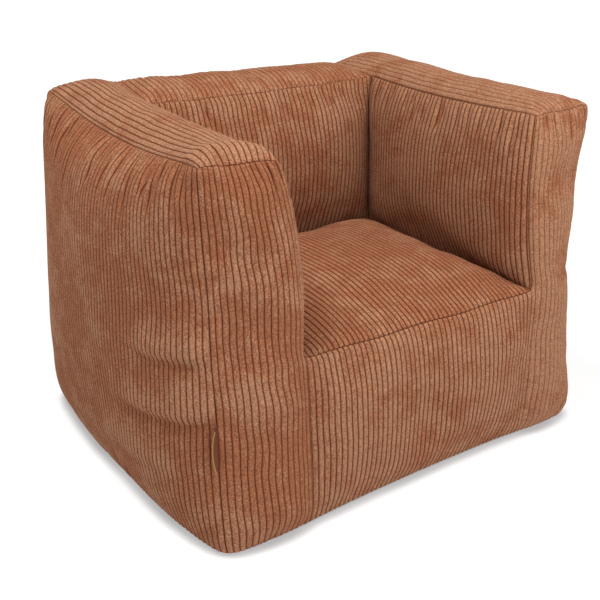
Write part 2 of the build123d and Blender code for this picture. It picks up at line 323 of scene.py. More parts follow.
def spread(points, side, target, widest=0.55, quick=0.3, lift=0.003, shoulder=0.022):
    """Pushes a side panel out in an arc to its target distance, and its shoulder up past the top seam."""
    u, _, edges = from_edges(points)
    arc = 1 - np.where(u < widest, (widest - u) / widest, (u - widest) / (1 - widest)) ** SIDE_ARC
    front, back, floor, top = (edge_rise(edge, *rise) for edge, rise in zip(edges, SIDE_RISES))
    beside = front * back
    rise = (quick * beside + (1 - quick) * arc) * floor * top
    moved = points.copy()
    moved[..., 0] += (side * target[None, :] - points[..., 0]) * rise
    near = edges[3] / shoulder
    fall = edge_rise(edges[0], SHOULDER_FALL), edge_rise(edges[1], SHOULDER_FALL)
    moved[..., 2] += lift * near * np.exp(1 - near) * fall[0] * fall[1]
    return moved


# Distance of a stuffed side from the middle, by height
SIDE_HEIGHTS = (0.0, 0.05, 0.10, 0.18, 0.27, 0.33, 0.37)
SIDE_REACHES = {
    "left": (0.262, 0.270, 0.2715, 0.2725, 0.2705, 0.2665, 0.2610),
    "right": (0.257, 0.261, 0.263, 0.262, 0.261, 0.260, 0.256),
}

# How far stuffing carries a corner of the cover from its seam planes
CORNER_SHIFTS = {
    "left": {
        "front_top": (0.0025, 0.021, -0.001),
        "front_top_in": (-0.0015, 0.0045, 0.001),
        "back_top": (-0.001, 0.003, 0.012),
        "back_top_in": (0.0, 0.0, 0.014),
        "rest_top": (0.0, 0.0, 0.007),
        "seat_front": (0.010, -0.005, -0.003),
        "front_floor_in": (0.004, -0.016, 0.0),
        "front_floor": (-0.017, -0.022, 0.0),
        "back_floor": (-0.016, 0.0, 0.0),
    },
    "right": {
        "front_top": (0.018, 0.003, 0.002),
        "front_top_in": (0.012, 0.002, 0.002),
        "back_top": (0.001, 0.002, 0.006),
        "back_top_in": (0.0, 0.0, 0.005),
        "seat_front": (0.011, -0.008, -0.001),
        "seat_rear": (0.010, 0.0, 0.006),
        "rest_top": (0.007, 0.0, 0.006),
        "front_floor_in": (0.002, -0.002, 0.0),
        "front_floor": (0.015, -0.003, 0.0),
        "back_floor": (0.009, 0.0, 0.0),
    },
}
# How far the seam at the floor bows out between the front and the back, quickly and then slowly
FLOOR_BOWS = {"left": (0.010, 0.006), "right": (0.008, 0.004)}
# How far the front and back seams of an arm lie in halfway up, across and along
FRONT_DRAWS = {"left": (0.013, 0.016), "right": (0.0145, 0.010)}
BACK_DRAWS = {"left": (0.003, 0.006), "right": (0.003, 0.006)}
# How far the outer seam of an arm's top sinks halfway along, and how far the rear seam rises
TOP_DIPS = {"left": 0.016, "right": 0.009}
REAR_RISES = {"left": 0.001, "right": 0.002}
# Insets of the corners from the seam planes before the cover is stuffed: outward, back and up
CORNER_INSETS = {
    "front_floor_in": (0, -0.002, 0), "front_top": (0, 0, -0.001), "front_top_in": (0.003, 0, -0.003),
    "back_top": (0, 0, -0.001), "back_top_in": (0.002, 0, -0.004), "seat_front": (0, 0.002, -0.003),
    "seat_rear": (0, 0, -0.008), "rest_top": (0.003, 0.005, -0.004),
}
# Bows of seams between their corners
BOWS = {
    "top_front": (0, 0.003, -0.003), "front_in_low": (0, -0.001, 0), "arm_floor": (0, -0.002, 0),
    "seat_side": (0, 0, -0.002), "seat_front": (0, 0.001, -0.002), "seat_rear": (0, 0.002, 0),
    "front_floor": (0, 0.004, 0), "back_floor": (0, 0.002, 0),
}
# How far an arm's inner seams bow out: along its top and up its front
TOP_IN_BOW, FRONT_IN_BOW = -0.003, -0.009
# How far the upper seams of the rest and the back bow back
REST_BOW = 0.001
# Waves of seams that wander, and their turns
WAVES = {
    "front": {"wave": (0.0005, -0.0005, 0), "turns": 3.4},
    "top_front": {"wave": (0, 0.001, 0.0012), "turns": 1.7},
    "seat_front": {"wave": (0, 0.0006, 0.0007), "turns": 2.6},
    "rest_top": {"wave": (0, 0.0007, 0.0007), "turns": 3.6},
}
# Share of the seam dip at the rest's corners, along the arms before and behind them, and along the rest
# and the back's top
CORNER_DIP, FORE_DIP, AFT_DIP, REST_DIP, REAR_DIP = 0.7, 0.7, 0.1, 0.45, 0.4
# Height of the lowest seams over the floor
FLOOR_Z = 0.002
# Heights over which the filling's spread rises from the floor, stays and falls off
BELLY_RISE, BELLY_TOP, BELLY_FALL = 0.05, 0.14, 0.21
# Distances from the middle where the sides, and the front and back, start to spread
BELLY_SIDE, BELLY_END = 0.17, 0.13
# On the right the spread starts behind the front and grows over a length
BELLY_RIGHT, BELLY_RIGHT_REACH = 0.02, 0.2
# Height above the zip over which the back starts to spread
BELLY_ZIP = 0.08
# Rise of the zip's edges over the base's back line, and length of that rise from the side seams
ZIP_LINE, ZIP_RISE = 0.0004, 0.022


def belly(points, settings):
    """Carries points outward where the weight of the filling spreads the lower half of the cover."""
    x, y, z = points[..., 0], points[..., 1], points[..., 2]

    def near(distance, start, end):
        return np.clip((distance - start) / (end - start), 0, 1) ** 2

    low = edge_rise(z, BELLY_RISE) * (1 - edge_rise(np.clip(z - BELLY_TOP, 0, None), BELLY_FALL) ** 2)
    near_x = near(np.abs(x), BELLY_SIDE, BASE_X)
    behind = edge_rise(np.clip(y - FRONT_Y - BELLY_RIGHT, 0, None), BELLY_RIGHT_REACH)
    near_x = np.where(x > 0, near_x * behind, near_x)
    moved = points.copy()
    moved[..., 0] += np.sign(x) * low * near_x * settings.side_belly
    moved[..., 1] -= low * near(-y, BELLY_END, -FRONT_Y) * settings.front_belly
    above_zip = edge_rise(np.clip(z - SLOT_HIGH_Z, 0, None), BELLY_ZIP)
    moved[..., 1] += low * near(y, BELLY_END, BACK_Y) * above_zip * settings.back_belly
    return moved


def cover_corners(settings):
    """Corners where the cover's seams meet, by side."""
    tuck, ear = settings.floor_tuck, settings.ear_inset
    front_top = FRONT_Y + settings.front_lean + ear
    back_top = BACK_Y - settings.back_lean - ear
    seat_front = FRONT_Y + settings.front_lean * SEAT_Z / TOP_Z
    planes = {
        "front_floor": (BASE_X - tuck, FRONT_Y + tuck, FLOOR_Z),
        "front_floor_in": (INNER_X, FRONT_Y + tuck, FLOOR_Z),
        "back_floor": (BASE_X - tuck, BACK_Y - tuck, FLOOR_Z),
        "front_top": (OUTER_X - ear, front_top, TOP_Z),
        "front_top_in": (INNER_X, front_top, TOP_Z),
        "back_top": (OUTER_X - ear, back_top, TOP_Z),
        "back_top_in": (INNER_X, back_top, TOP_Z),
        "seat_front": (INNER_X, seat_front, SEAT_Z),
        "seat_rear": (INNER_X, REST_Y, SEAT_Z),
        "rest_top": (INNER_X, REST_Y, TOP_Z - settings.seam_dip * CORNER_DIP),
    }
    corners = {}
    for word, side in SIDES.items():
        corners[word] = {}
        for name, place in planes.items():
            sewn = (np.array(place) + CORNER_INSETS.get(name, NONE)) * (side, 1, 1)
            corners[word][name] = sewn + np.array(CORNER_SHIFTS[word].get(name, NONE))
    return corners


def cover_layout(settings):
    """Sewn panels as grids of points, before the filling settles. The first axis crosses the wales."""
    x, (_, xl, xr, _) = rows(settings.cell, -OUTER_X, -INNER_X, INNER_X, OUTER_X)
    y, (_, yr, _) = rows(settings.cell, FRONT_Y, REST_Y, BACK_Y)
    z, (_, zl, zh, zs, _) = rows(settings.cell, 0.0, SLOT_LOW_Z, SLOT_HIGH_Z, SEAT_Z, TOP_Z)
    tuck, dip = settings.floor_tuck, settings.seam_dip
    roll = settings.floor_roll / TOP_Z
    t_arm, t_seat, t_width = shares(x[: xl + 1]), shares(x[xl : xr + 1]), shares(x)
    t_depth, t_fore, t_aft = shares(y), shares(y[: yr + 1]), shares(y[yr:])
    t_height, t_low, t_high = shares(z), shares(z[: zs + 1]), shares(z[zs:])
    corners = cover_corners(settings)

    seams = {}
    for word, side in SIDES.items():
        p = corners[word]
        out, back = np.array([side, 0, 0]), np.array([0, 1, 0])
        front_draw, back_draw, floor_bow = FRONT_DRAWS[word], BACK_DRAWS[word], FLOOR_BOWS[word]
        seams[word] = {
            "front": seam(
                p["front_floor"], p["front_top"], t_height, bow=(-side * front_draw[0], front_draw[1], 0),
                tuck=out * tuck - back * tuck, tuck_share=roll, **WAVES["front"],
            ),
            "back": seam(
                p["back_floor"], p["back_top"], t_height, bow=(-side * back_draw[0], -back_draw[1], 0),
                tuck=out * tuck + back * tuck, tuck_share=roll,
            ),
            "side_floor": seam(
                p["front_floor"], p["back_floor"], t_depth,
                inset=out * floor_bow[0], bow=out * floor_bow[1],
            ),
            "top_out": seam(
                p["front_top"], p["back_top"], t_depth, bow=(0, 0, -TOP_DIPS[word]),
                inset=-out * settings.edge_inset,
            ),
            "top_front": seam(
                p["front_top"], p["front_top_in"], t_arm, bow=BOWS["top_front"], **WAVES["top_front"],
            ),
            "top_back": seam(p["back_top"], p["back_top_in"], t_arm, bow=(0, 0, REAR_RISES[word])),
            "top_in_fore": seam(
                p["front_top_in"], p["rest_top"], t_fore, bow=(side * TOP_IN_BOW, 0, -dip * FORE_DIP),
            ),
            "top_in_aft": seam(p["rest_top"], p["back_top_in"], t_aft, bow=(0, 0, -dip * AFT_DIP)),
            "front_in_low": seam(
                p["front_floor_in"], p["seat_front"], t_low, bow=BOWS["front_in_low"],
                tuck=(0, -tuck, 0), tuck_share=roll * TOP_Z / SEAT_Z,
            ),
            "front_in_high": seam(p["seat_front"], p["front_top_in"], t_high, bow=out * FRONT_IN_BOW),
            "arm_floor": seam(p["front_floor"], p["front_floor_in"], t_arm, bow=BOWS["arm_floor"]),
            "seat_side": seam(p["seat_front"], p["seat_rear"], t_fore, bow=BOWS["seat_side"]),
            "rest_side": seam(p["seat_rear"], p["rest_top"], t_high),
        }

    def across(corner, t=t_seat, **shape):
        return seam(corners["left"][corner], corners["right"][corner], t, **shape)

    middle = {
        "seat_front": across("seat_front", bow=BOWS["seat_front"], **WAVES["seat_front"]),
        "seat_rear": across("seat_rear", bow=BOWS["seat_rear"]),
        "rest_top": across("rest_top", bow=(0, REST_BOW, -dip * REST_DIP), **WAVES["rest_top"]),
        "front_floor": across("front_floor_in", bow=BOWS["front_floor"]),
        "back_top": across("back_top_in", bow=(0, REST_BOW, -dip * REAR_DIP)),
    }

    def whole(arm, between):
        return np.concatenate([seams["left"][arm], middle[between][1:], seams["right"][arm][::-1][1:]])

    def behind(low, high, start, end):
        sides = (seams[word]["back"][start:end] for word in SIDES)
        return coons(low, high, *sides, t_width, shares(z[start:end]))

    zip_edges = []
    for index in (zl, zh):
        ends = seams["left"]["back"][index], seams["right"]["back"][index]
        line = seam(*ends, t_width)
        from_end = np.minimum(t_width, 1 - t_width) * 2 * OUTER_X
        line[:, 1] += (BACK_Y + ZIP_LINE - ends[0][1]) * edge_rise(from_end, ZIP_RISE)
        zip_edges.append(line)
    back_floor = across("back_floor", t_width, bow=BOWS["back_floor"])

    grids = {}
    for word, side in SIDES.items():
        s = seams[word]
        grids[f"{word}_side_panel"] = spread(
            coons(s["side_floor"], s["top_out"], s["front"], s["back"], t_depth, t_height), side,
            np.interp(z, SIDE_HEIGHTS, SIDE_REACHES[word]),
        )
        top_in = np.concatenate([s["top_in_fore"], s["top_in_aft"][1:]])
        front_in = np.concatenate([s["front_in_low"], s["front_in_high"][1:]])
        for kind, *edges in (
            ("arm_top", s["top_front"], s["top_back"], s["top_out"], top_in, t_arm, t_depth),
            ("arm_front", s["arm_floor"], s["top_front"], s["front"], front_in, t_arm, t_height),
            (
                "arm_inner", s["seat_side"], s["top_in_fore"], s["front_in_high"], s["rest_side"],
                t_fore, t_high,
            ),
        ):
            grids[f"{word}_{kind}_panel"] = puff(coons(*edges), -side, *SWELLS[kind])
    for kind, low, high, edge, t in (
        ("seat", "seat_front", "seat_rear", "seat_side", t_fore),
        ("seat_front", "front_floor", "seat_front", "front_in_low", t_low),
        ("backrest", "seat_rear", "rest_top", "rest_side", t_high),
        ("back_top", "rest_top", "back_top", "top_in_aft", t_aft),
    ):
        sides = (seams[word][edge] for word in SIDES)
        grids[f"{kind}_panel"] = puff(coons(middle[low], middle[high], *sides, t_seat, t), 1, *SWELLS[kind])
    outer = behind(zip_edges[1], whole("top_back", "back_top"), zh, None)
    grids["back_outer_panel"] = puff(outer, -1, *SWELLS["back_outer"])
    grids["back_lower_band"] = behind(back_floor, zip_edges[0], 0, zl + 1)
    grids["zip_strip"] = behind(*zip_edges, zl, zh + 1)
    sides = (seams[word]["side_floor"] for word in SIDES)
    grids["base_panel"] = coons(whole("arm_floor", "front_floor"), back_floor, *sides, t_width, t_depth)
    return {name: belly(grid, settings) for name, grid in grids.items()}


# Which way a panel's grid faces outward
ARM_KINDS = ("arm_top", "arm_front", "arm_inner")
FLIPS = dict.fromkeys(("seat_panel", "seat_front_panel", "backrest_panel", "back_top_panel"), 1)
FLIPS |= dict.fromkeys(("back_outer_panel", "back_lower_band", "zip_strip", "base_panel"), -1)
FLIPS |= {f"{word}_side_panel": side for word, side in SIDES.items()}
FLIPS |= {f"{word}_{kind}_panel": -side for word, side in SIDES.items() for kind in ARM_KINDS}

# Share of the fullness that the large panels don't have
TIGHTNESS = {
    "left_side_panel": 1.0, "right_side_panel": 1.0, "back_outer_panel": 0.8, "seat_front_panel": 0.3,
    "left_arm_inner_panel": 0.8, "right_arm_inner_panel": 0.8,
}
# Panels that the filling doesn't move
STILL_PANELS = ("base_panel", "zip_strip")
# Settings of the cloth simulation
CLOTH = {
    "quality": 5, "mass": 0.3, "tension_stiffness": 40, "compression_stiffness": 40, "shear_stiffness": 12,
    "bending_stiffness": 1.0, "vertex_group_mass": "held", "use_pressure": True,
    "vertex_group_shrink": "tight",
}
# Points nearer than this are one point of the sewn cover
WELD_STEP = 1e-5
# Share of the way to its neighbours that a point moves in a smoothing step: after the simulation, when the
# edges are rounded, and along the base's edge
CALM_STEP, SOFT_STEP, LOOP_STEP = 0.5, 0.6, 0.5
# A point this far below its neighbours lies in a crease
HOLLOW = 0.0008


def grid_faces(count_u, count_v, flip):
    """Corner indices of a grid's quads, wound so that they face outward."""
    index = np.arange(count_u * count_v).reshape(count_u, count_v)
    quads = np.stack([index[:-1, :-1], index[1:, :-1], index[1:, 1:], index[:-1, 1:]], axis=-1)
    quads = quads.reshape(-1, 4)
    return quads if flip > 0 else quads[:, ::-1]


def joined(points, step):
    """First index of each place where points lie within a step, and the place of each point."""
    keys = np.round(points / step).astype(np.int64)
    _, first, place = np.unique(keys, axis=0, return_index=True, return_inverse=True)
    return first, place.ravel()


def welded_cover(grids):
    """Points of all grids with shared seams joined, each grid's indices into them, and the quads."""
    points = np.concatenate([grid.reshape(-1, 3) for grid in grids.values()])
    first, place = joined(points, WELD_STEP)
    index, start = {}, 0
    for name, grid in grids.items():
        shape = grid.shape[:2]
        index[name] = place[start : start + math.prod(shape)].reshape(shape)
        start += math.prod(shape)
    quads = [part.ravel()[grid_faces(*part.shape, FLIPS[name])] for name, part in index.items()]
    return points[first], index, np.concatenate(quads)


def point_normals(points, quads):
    """Outward unit normals at points, from the quads that meet there."""
    facing = np.cross(points[quads[:, 2]] - points[quads[:, 0]], points[quads[:, 3]] - points[quads[:, 1]])
    total = np.zeros_like(points)
    for k in range(4):
        np.add.at(total, quads[:, k], facing)
    return total / np.linalg.norm(total, axis=1, keepdims=True)


def settle(grids, settings):
    """Grids of the sewn cover after a short cloth simulation under the filling's pressure."""
    points, index, quads = welded_cover(grids)
    mesh = bpy.data.meshes.new("cover_form")
    mesh.from_pydata(points.tolist(), [], quads.tolist())
    form = bpy.data.objects.new("cover_form", mesh)
    scene = bpy.context.scene
    scene.collection.objects.link(form)
    held = [np.concatenate([part[0], part[-1], part[:, 0], part[:, -1]]) for part in index.values()]
    held += [index[name].ravel() for name in STILL_PANELS]
    form.vertex_groups.new(name="held").add(np.unique(np.concatenate(held)).tolist(), 1.0, "REPLACE")
    tight = form.vertex_groups.new(name="tight")
    for name, share in TIGHTNESS.items():
        tight.add(np.unique(index[name]).tolist(), share, "REPLACE")
    cloth = form.modifiers.new("cloth", "CLOTH")
    for key, value in CLOTH.items():
        setattr(cloth.settings, key, value)
    cloth.settings.uniform_pressure_force = settings.pressure
    cloth.settings.shrink_min = -settings.fullness
    cloth.settings.shrink_max = 0
    cloth.settings.effector_weights.gravity = 0
    cloth.point_cache.frame_end = settings.frames
    for number in range(1, settings.frames + 1):
        scene.frame_set(number)
    evaluated = form.evaluated_get(bpy.context.evaluated_depsgraph_get())
    moved = np.empty(len(points) * 3)
    evaluated.data.vertices.foreach_get("co", moved)
    scene.frame_set(1)
    bpy.data.objects.remove(form)
    move = moved.reshape(-1, 3) - points
    result = {}
    for name, grid in grids.items():
        shift = calm(move[index[name]], settings.calming)
        far = np.linalg.norm(shift, axis=2, keepdims=True)
        shift = shift * (settings.most_move * np.tanh(far / settings.most_move) / np.maximum(far, 1e-9))
        result[name] = grid + shift
    return result


def calm(shift, times):
    """Smooths a panel's movement between its seams, so that only broad folds are left."""
    shift = shift.copy()
    for _ in range(times):
        inner = shift[:-2, 1:-1] + shift[2:, 1:-1] + shift[1:-1, :-2] + shift[1:-1, 2:]
        shift[1:-1, 1:-1] += CALM_STEP * (inner / 4 - shift[1:-1, 1:-1])
    return shift


def soften(grids, times):
    """Rounds the outer edges of the sewn cover. Its base, its zip and the seat's creases stay sharp."""
    points, index, quads = welded_cover(grids)
    pairs = np.concatenate([quads[:, [k, (k + 1) % 4]] for k in range(4)])
    pairs = np.unique(np.sort(pairs, axis=1), axis=0)
    count = np.bincount(pairs.ravel(), minlength=len(points))[:, None]

    def around(values):
        total = np.zeros_like(values)
        np.add.at(total, pairs[:, 0], values[pairs[:, 1]])
        np.add.at(total, pairs[:, 1], values[pairs[:, 0]])
        return total / count

    hollow = ((around(points) - points) * point_normals(points, quads)).sum(1) > HOLLOW
    free = np.where(hollow, 0.0, 1.0)[:, None]
    for name in (*STILL_PANELS, "back_lower_band"):
        free[index[name]] = 0.0
    base = index["base_panel"]
    loop = np.concatenate([base[:-1, 0], base[-1, :-1], base[:0:-1, -1], base[0, :0:-1]])
    for _ in range(times):
        points = points + SOFT_STEP * free * (around(points) - points)
        ring = points[loop]
        points[loop] = ring + LOOP_STEP * ((np.roll(ring, 1, 0) + np.roll(ring, -1, 0)) / 2 - ring)
    return {name: points[part] for name, part in index.items()}


@cache
def cover_form():
    """Settled grids of the sewn cover."""
    settings = bpy.context.scene.chair_cover
    grids = cover_layout(settings)
    return soften(settle(grids, settings), settings.softening)


@cache
def seam_normals():
    """Outward normals at the points of every grid, shared by the panels that meet at a seam."""
    points, index, quads = welded_cover(cover_form())
    facing = point_normals(points, quads)
    return {name: facing[part] for name, part in index.items()}


# Corduroy panels


def spline_weights(places, count):
    """Matrix that reads a row of count points at fractional places, on a smooth curve through them."""
    places = np.clip(places, 0, count - 1)
    base = np.minimum(places.astype(int), count - 2)
    t = places - base
    weights = np.zeros((len(places), count))
    taps = {
        -1: -0.5 * t + t**2 - 0.5 * t**3,
        0: 1 - 2.5 * t**2 + 1.5 * t**3,
        1: 0.5 * t + 2 * t**2 - 1.5 * t**3,
        2: -0.5 * t**2 + 0.5 * t**3,
    }
    lines = np.arange(len(places))
    for step, tap in taps.items():
        place = base + step
        inside = (place >= 0) & (place < count)
        np.add.at(weights, (lines[inside], place[inside]), tap[inside])
        for outside, near, far in ((place < 0, 0, 1), (place >= count, count - 1, count - 2)):
            np.add.at(weights, (lines[outside], np.full(outside.sum(), near)), 2 * tap[outside])
            np.add.at(weights, (lines[outside], np.full(outside.sum(), far)), -tap[outside])
    return weights


# Places of the points across one wale, as shares of its pitch, and the least gap to a panel's edge
WALE_PHASES = np.array([0.0, 0.08, 0.18, 0.33, 0.5, 0.67, 0.82, 0.92])
PHASE_GAP = 0.03
# Fullness of a wale's round section
WALE_ROUND = 0.55
# Least number of rows along a panel, and extra rows beside a seam that crosses the wales
LEAST_ROWS = 6
SEAM_ROWS = np.array([0.0004, 0.0009, 0.0018])
# Depth and width of a pressed seam, width over which it presses the pile, and strength and width
# of its shade
SEAM_DEPTH, SEAM_WIDTH, PRESS_WIDTH, SHADE, SHADE_WIDTH = 0.0009, 0.0013, 0.0006, 0.8, 0.0005
# Share of a seam's depth and shade that a kind of panel shows
SEAM_SHARES = {"backrest": 0.5, "back_top": 0.5}
# Reach and strength of a corner, where seams are pressed less
CORNER_REACH, CORNER_SHARE = 0.012, 0.8
# Panels whose last seam can't be seen, up to a share of its length, and how it fades
QUIET_SEAMS = {"seat_front_panel": 1.1, "right_arm_front_panel": 0.5, "left_arm_front_panel": 0.5}
QUIET_GAP, QUIET_FADE = 0.004, 0.05
# Distances from a seam over which creases, and dents and wander, reach their full height
CREASE_REACH, DENT_REACH = 0.006, 0.02
# Sizes of the dents, and of the wander across and along the wales
DENT_SIZE, WANDER_SIZE = 0.055, (0.05, 0.035, 1.0)
# Share of the dents and of the wander that a kind of panel shows
DENT_SHARES = {"seat": 0.35, "arm_top": 0.4, "seat_front": 0.8}
# How strongly a panel shows the painted shade of its grooves, and how far the whole panel is painted
# lighter or darker, as painted light and shade for how the light falls on it
PANEL_SHADING = {
    "left_side_panel": (0.96, -0.5), "right_side_panel": (0.6, 0.5),
    "left_arm_top_panel": (0.92, 0.2), "right_arm_top_panel": (0.62, 0.2),
    "left_arm_front_panel": (0.9, -0.5), "right_arm_front_panel": (0.62, 0.3),
    "right_arm_inner_panel": (1.05, 0.25), "seat_panel": (1.1, -0.6), "back_top_panel": (0.8, -0.4),
}
# Height of a crease or roll that shifts the pile's colour by a full step: darker in a crease as painted
# shade, lighter on a roll as painted light
FOLD_STEP = 0.003
# Place within a wale of a panel's first edge, where the seam runs beside the wales
EDGE_PHASES = {
    "left_arm_top_panel": 0.42, "right_arm_top_panel": 0.42,
    "left_side_panel": 0.0, "left_arm_front_panel": 0.0,
}
# The plain back of a panel has every third of its rows
BACK_STEP = 3
# Faces that meet at a sharper angle than this show an edge: corduroy and plain cloth
CORD_EDGE, CLOTH_EDGE = math.radians(75), math.radians(50)


def wale_rise(phase):
    """Height of the pile across one wale, from 0 in the groove to 1 on its crown."""
    return np.abs(np.sin(np.pi * phase)) ** WALE_ROUND


def strokes(panel_u, panel_v, marks, fade_power=2.5):
    """Sum of soft creases and rolls: start, end, width above and below, and height of each."""
    total = np.zeros((len(panel_u), len(panel_v)))
    gu, gv = panel_u[:, None], panel_v[None, :]
    for (u0, v0), (u1, v1), above, below, height in marks:
        du, dv = u1 - u0, v1 - v0
        reach = math.hypot(du, dv)
        along = ((gu - u0) * du + (gv - v0) * dv) / reach**2
        off = ((gu - u0) * dv - (gv - v0) * du) / reach
        fade = np.clip(1 - np.abs(2 * along - 1) ** fade_power, 0, 1)
        total += height * bell(off, np.where(off < 0, above, below)) * fade
    return total


# Seams that gather their panel: spacing, reach and depth of the creases that run in from each edge
GATHERS = {
    "side": {"v1": (0.015, 0.065, 0.0032), "u0": (0.03, 0.035, 0.0009), "v0": (0.03, 0.03, 0.0008)},
    "arm_top": {"u0": (0.02, 0.02, 0.0007), "u1": (0.02, 0.02, 0.0007), "v0": (0.011, 0.03, 0.0018)},
    "arm_front": {"v1": (0.011, 0.035, 0.0027), "u0": (0.03, 0.025, 0.0008), "v0": (0.018, 0.025, 0.0010)},
    "arm_inner": {"v1": (0.017, 0.05, 0.0022), "v0": (0.022, 0.035, 0.0010), "u0": (0.03, 0.03, 0.0008)},
    "seat": {"u0": (0.02, 0.035, 0.0010), "u1": (0.02, 0.035, 0.0010), "v0": (0.022, 0.03, 0.0008)},
    "seat_front": {"v0": (0.022, 0.025, 0.0008), "v1": (0.025, 0.02, 0.0006)},
    "backrest": {"v1": (0.018, 0.045, 0.0019), "v0": (0.025, 0.03, 0.0008)},
    "back_top": {"v0": (0.018, 0.03, 0.0013), "v1": (0.02, 0.03, 0.0013)},
    "back_outer": {"v1": (0.02, 0.045, 0.0013), "u0": (0.03, 0.04, 0.0010), "u1": (0.03, 0.04, 0.0010)},
}
# Ranges of a crease as shares of its kind's: place of the first, reach, width, depth and step to the next
FIRST_RANGE, REACH_RANGE, WIDTH_RANGE = (0.3, 1.0), (0.45, 1.1), (0.7, 1.5)
DEPTH_RANGE, STEP_RANGE = (0.4, 1.2), (0.6, 1.4)
# Shares of a crease's reach that it starts before its seam and leans by, and of its spacing that stays free
# at the end
CREASE_START, CREASE_LEAN, CREASE_END = 0.15, 0.25, 0.3
# Single folds: start and end across and along the panel, width above and below, and height
FOLDS = {
    "left_side_panel": (
        ((-0.020, 0.195), (0.110, 0.190), 0.024, 0.0060, 0.0036),
        ((-0.020, 0.185), (0.100, 0.180), 0.004, 0.0085, -0.0016),
        ((-0.020, 0.139), (0.150, 0.121), 0.026, 0.0060, 0.0040),
        ((-0.020, 0.129), (0.135, 0.111), 0.004, 0.0085, -0.0018),
        ((0.020, 0.080), (0.200, 0.054), 0.024, 0.0075, 0.0026),
    ),
    "left_arm_top_panel": (((-0.020, 0.017), (0.140, 0.017), 0.016, 0.0110, 0.0048),),
    "right_side_panel": (((-0.020, 0.182), (0.050, 0.174), 0.009, 0.0060, -0.0026),),
    "right_arm_front_panel": (((-0.020, 0.182), (0.045, 0.188), 0.008, 0.0050, -0.0022),),
}


def gathered(kind, across, along, random, width=0.0034):
    """Creases of one kind of panel, with seeded places, lengths, leans, widths and depths."""
    marks = []
    for edge, (spacing, reach, depth) in GATHERS.get(kind, {}).items():
        length = along if edge[0] == "u" else across
        far = across if edge[0] == "u" else along
        place = spacing * random.uniform(*FIRST_RANGE)
        while place < length - CREASE_END * spacing:
            deep = reach * random.uniform(*REACH_RANGE)
            lean = CREASE_LEAN * deep * random.normal()
            ends = [(place, -CREASE_START * deep), (place + lean, deep)]
            if edge[1] == "1":
                ends = [(where, far - depth_in) for where, depth_in in ends]
            if edge[0] == "u":
                ends = [(depth_in, where) for where, depth_in in ends]
            wide = width * random.uniform(*WIDTH_RANGE)
            marks.append((*ends, wide, wide, -depth * random.uniform(*DEPTH_RANGE)))
            place += spacing * random.uniform(*STEP_RANGE)
    return marks


def evened(grid, *others):
    """A grid and others like it, read again with each row's points evenly spaced across the wales."""
    step = np.linalg.norm(np.diff(grid, axis=0), axis=2)
    far = np.concatenate([np.zeros((1, grid.shape[1])), np.cumsum(step, axis=0)])
    far /= far[-1]
    count = grid.shape[0]
    wanted = np.linspace(0, 1, count)
    results = [np.empty_like(part) for part in (grid, *others)]
    for row in range(grid.shape[1]):
        read = spline_weights(np.interp(wanted, far[:, row], np.arange(count)), count)
        for result, part in zip(results, (grid, *others)):
            result[:, row] = read @ part[:, row]
    return results


def closed_faces(shape, back_u, back_v, flip):
    """Faces of a front grid, of a back grid on some of its lines, and of the rims between them."""
    front = np.arange(math.prod(shape)).reshape(shape)
    back = np.arange(len(back_u) * len(back_v)).reshape(len(back_u), len(back_v)) + front.size
    faces = grid_faces(*shape, flip).tolist() + (grid_faces(*back.shape, -flip) + front.size).tolist()
    for line, near, stops, turn in (
        (front[:, 0], back[:, 0], back_u, flip), (front[:, -1], back[:, -1], back_u, -flip),
        (front[0], back[0], back_v, -flip), (front[-1], back[-1], back_v, flip),
    ):
        for k in range(len(stops) - 1):
            rim = [near[k], near[k + 1], *line[stops[k] : stops[k + 1] + 1][::-1].tolist()]
            faces.append(rim if turn > 0 else rim[::-1])
    return faces


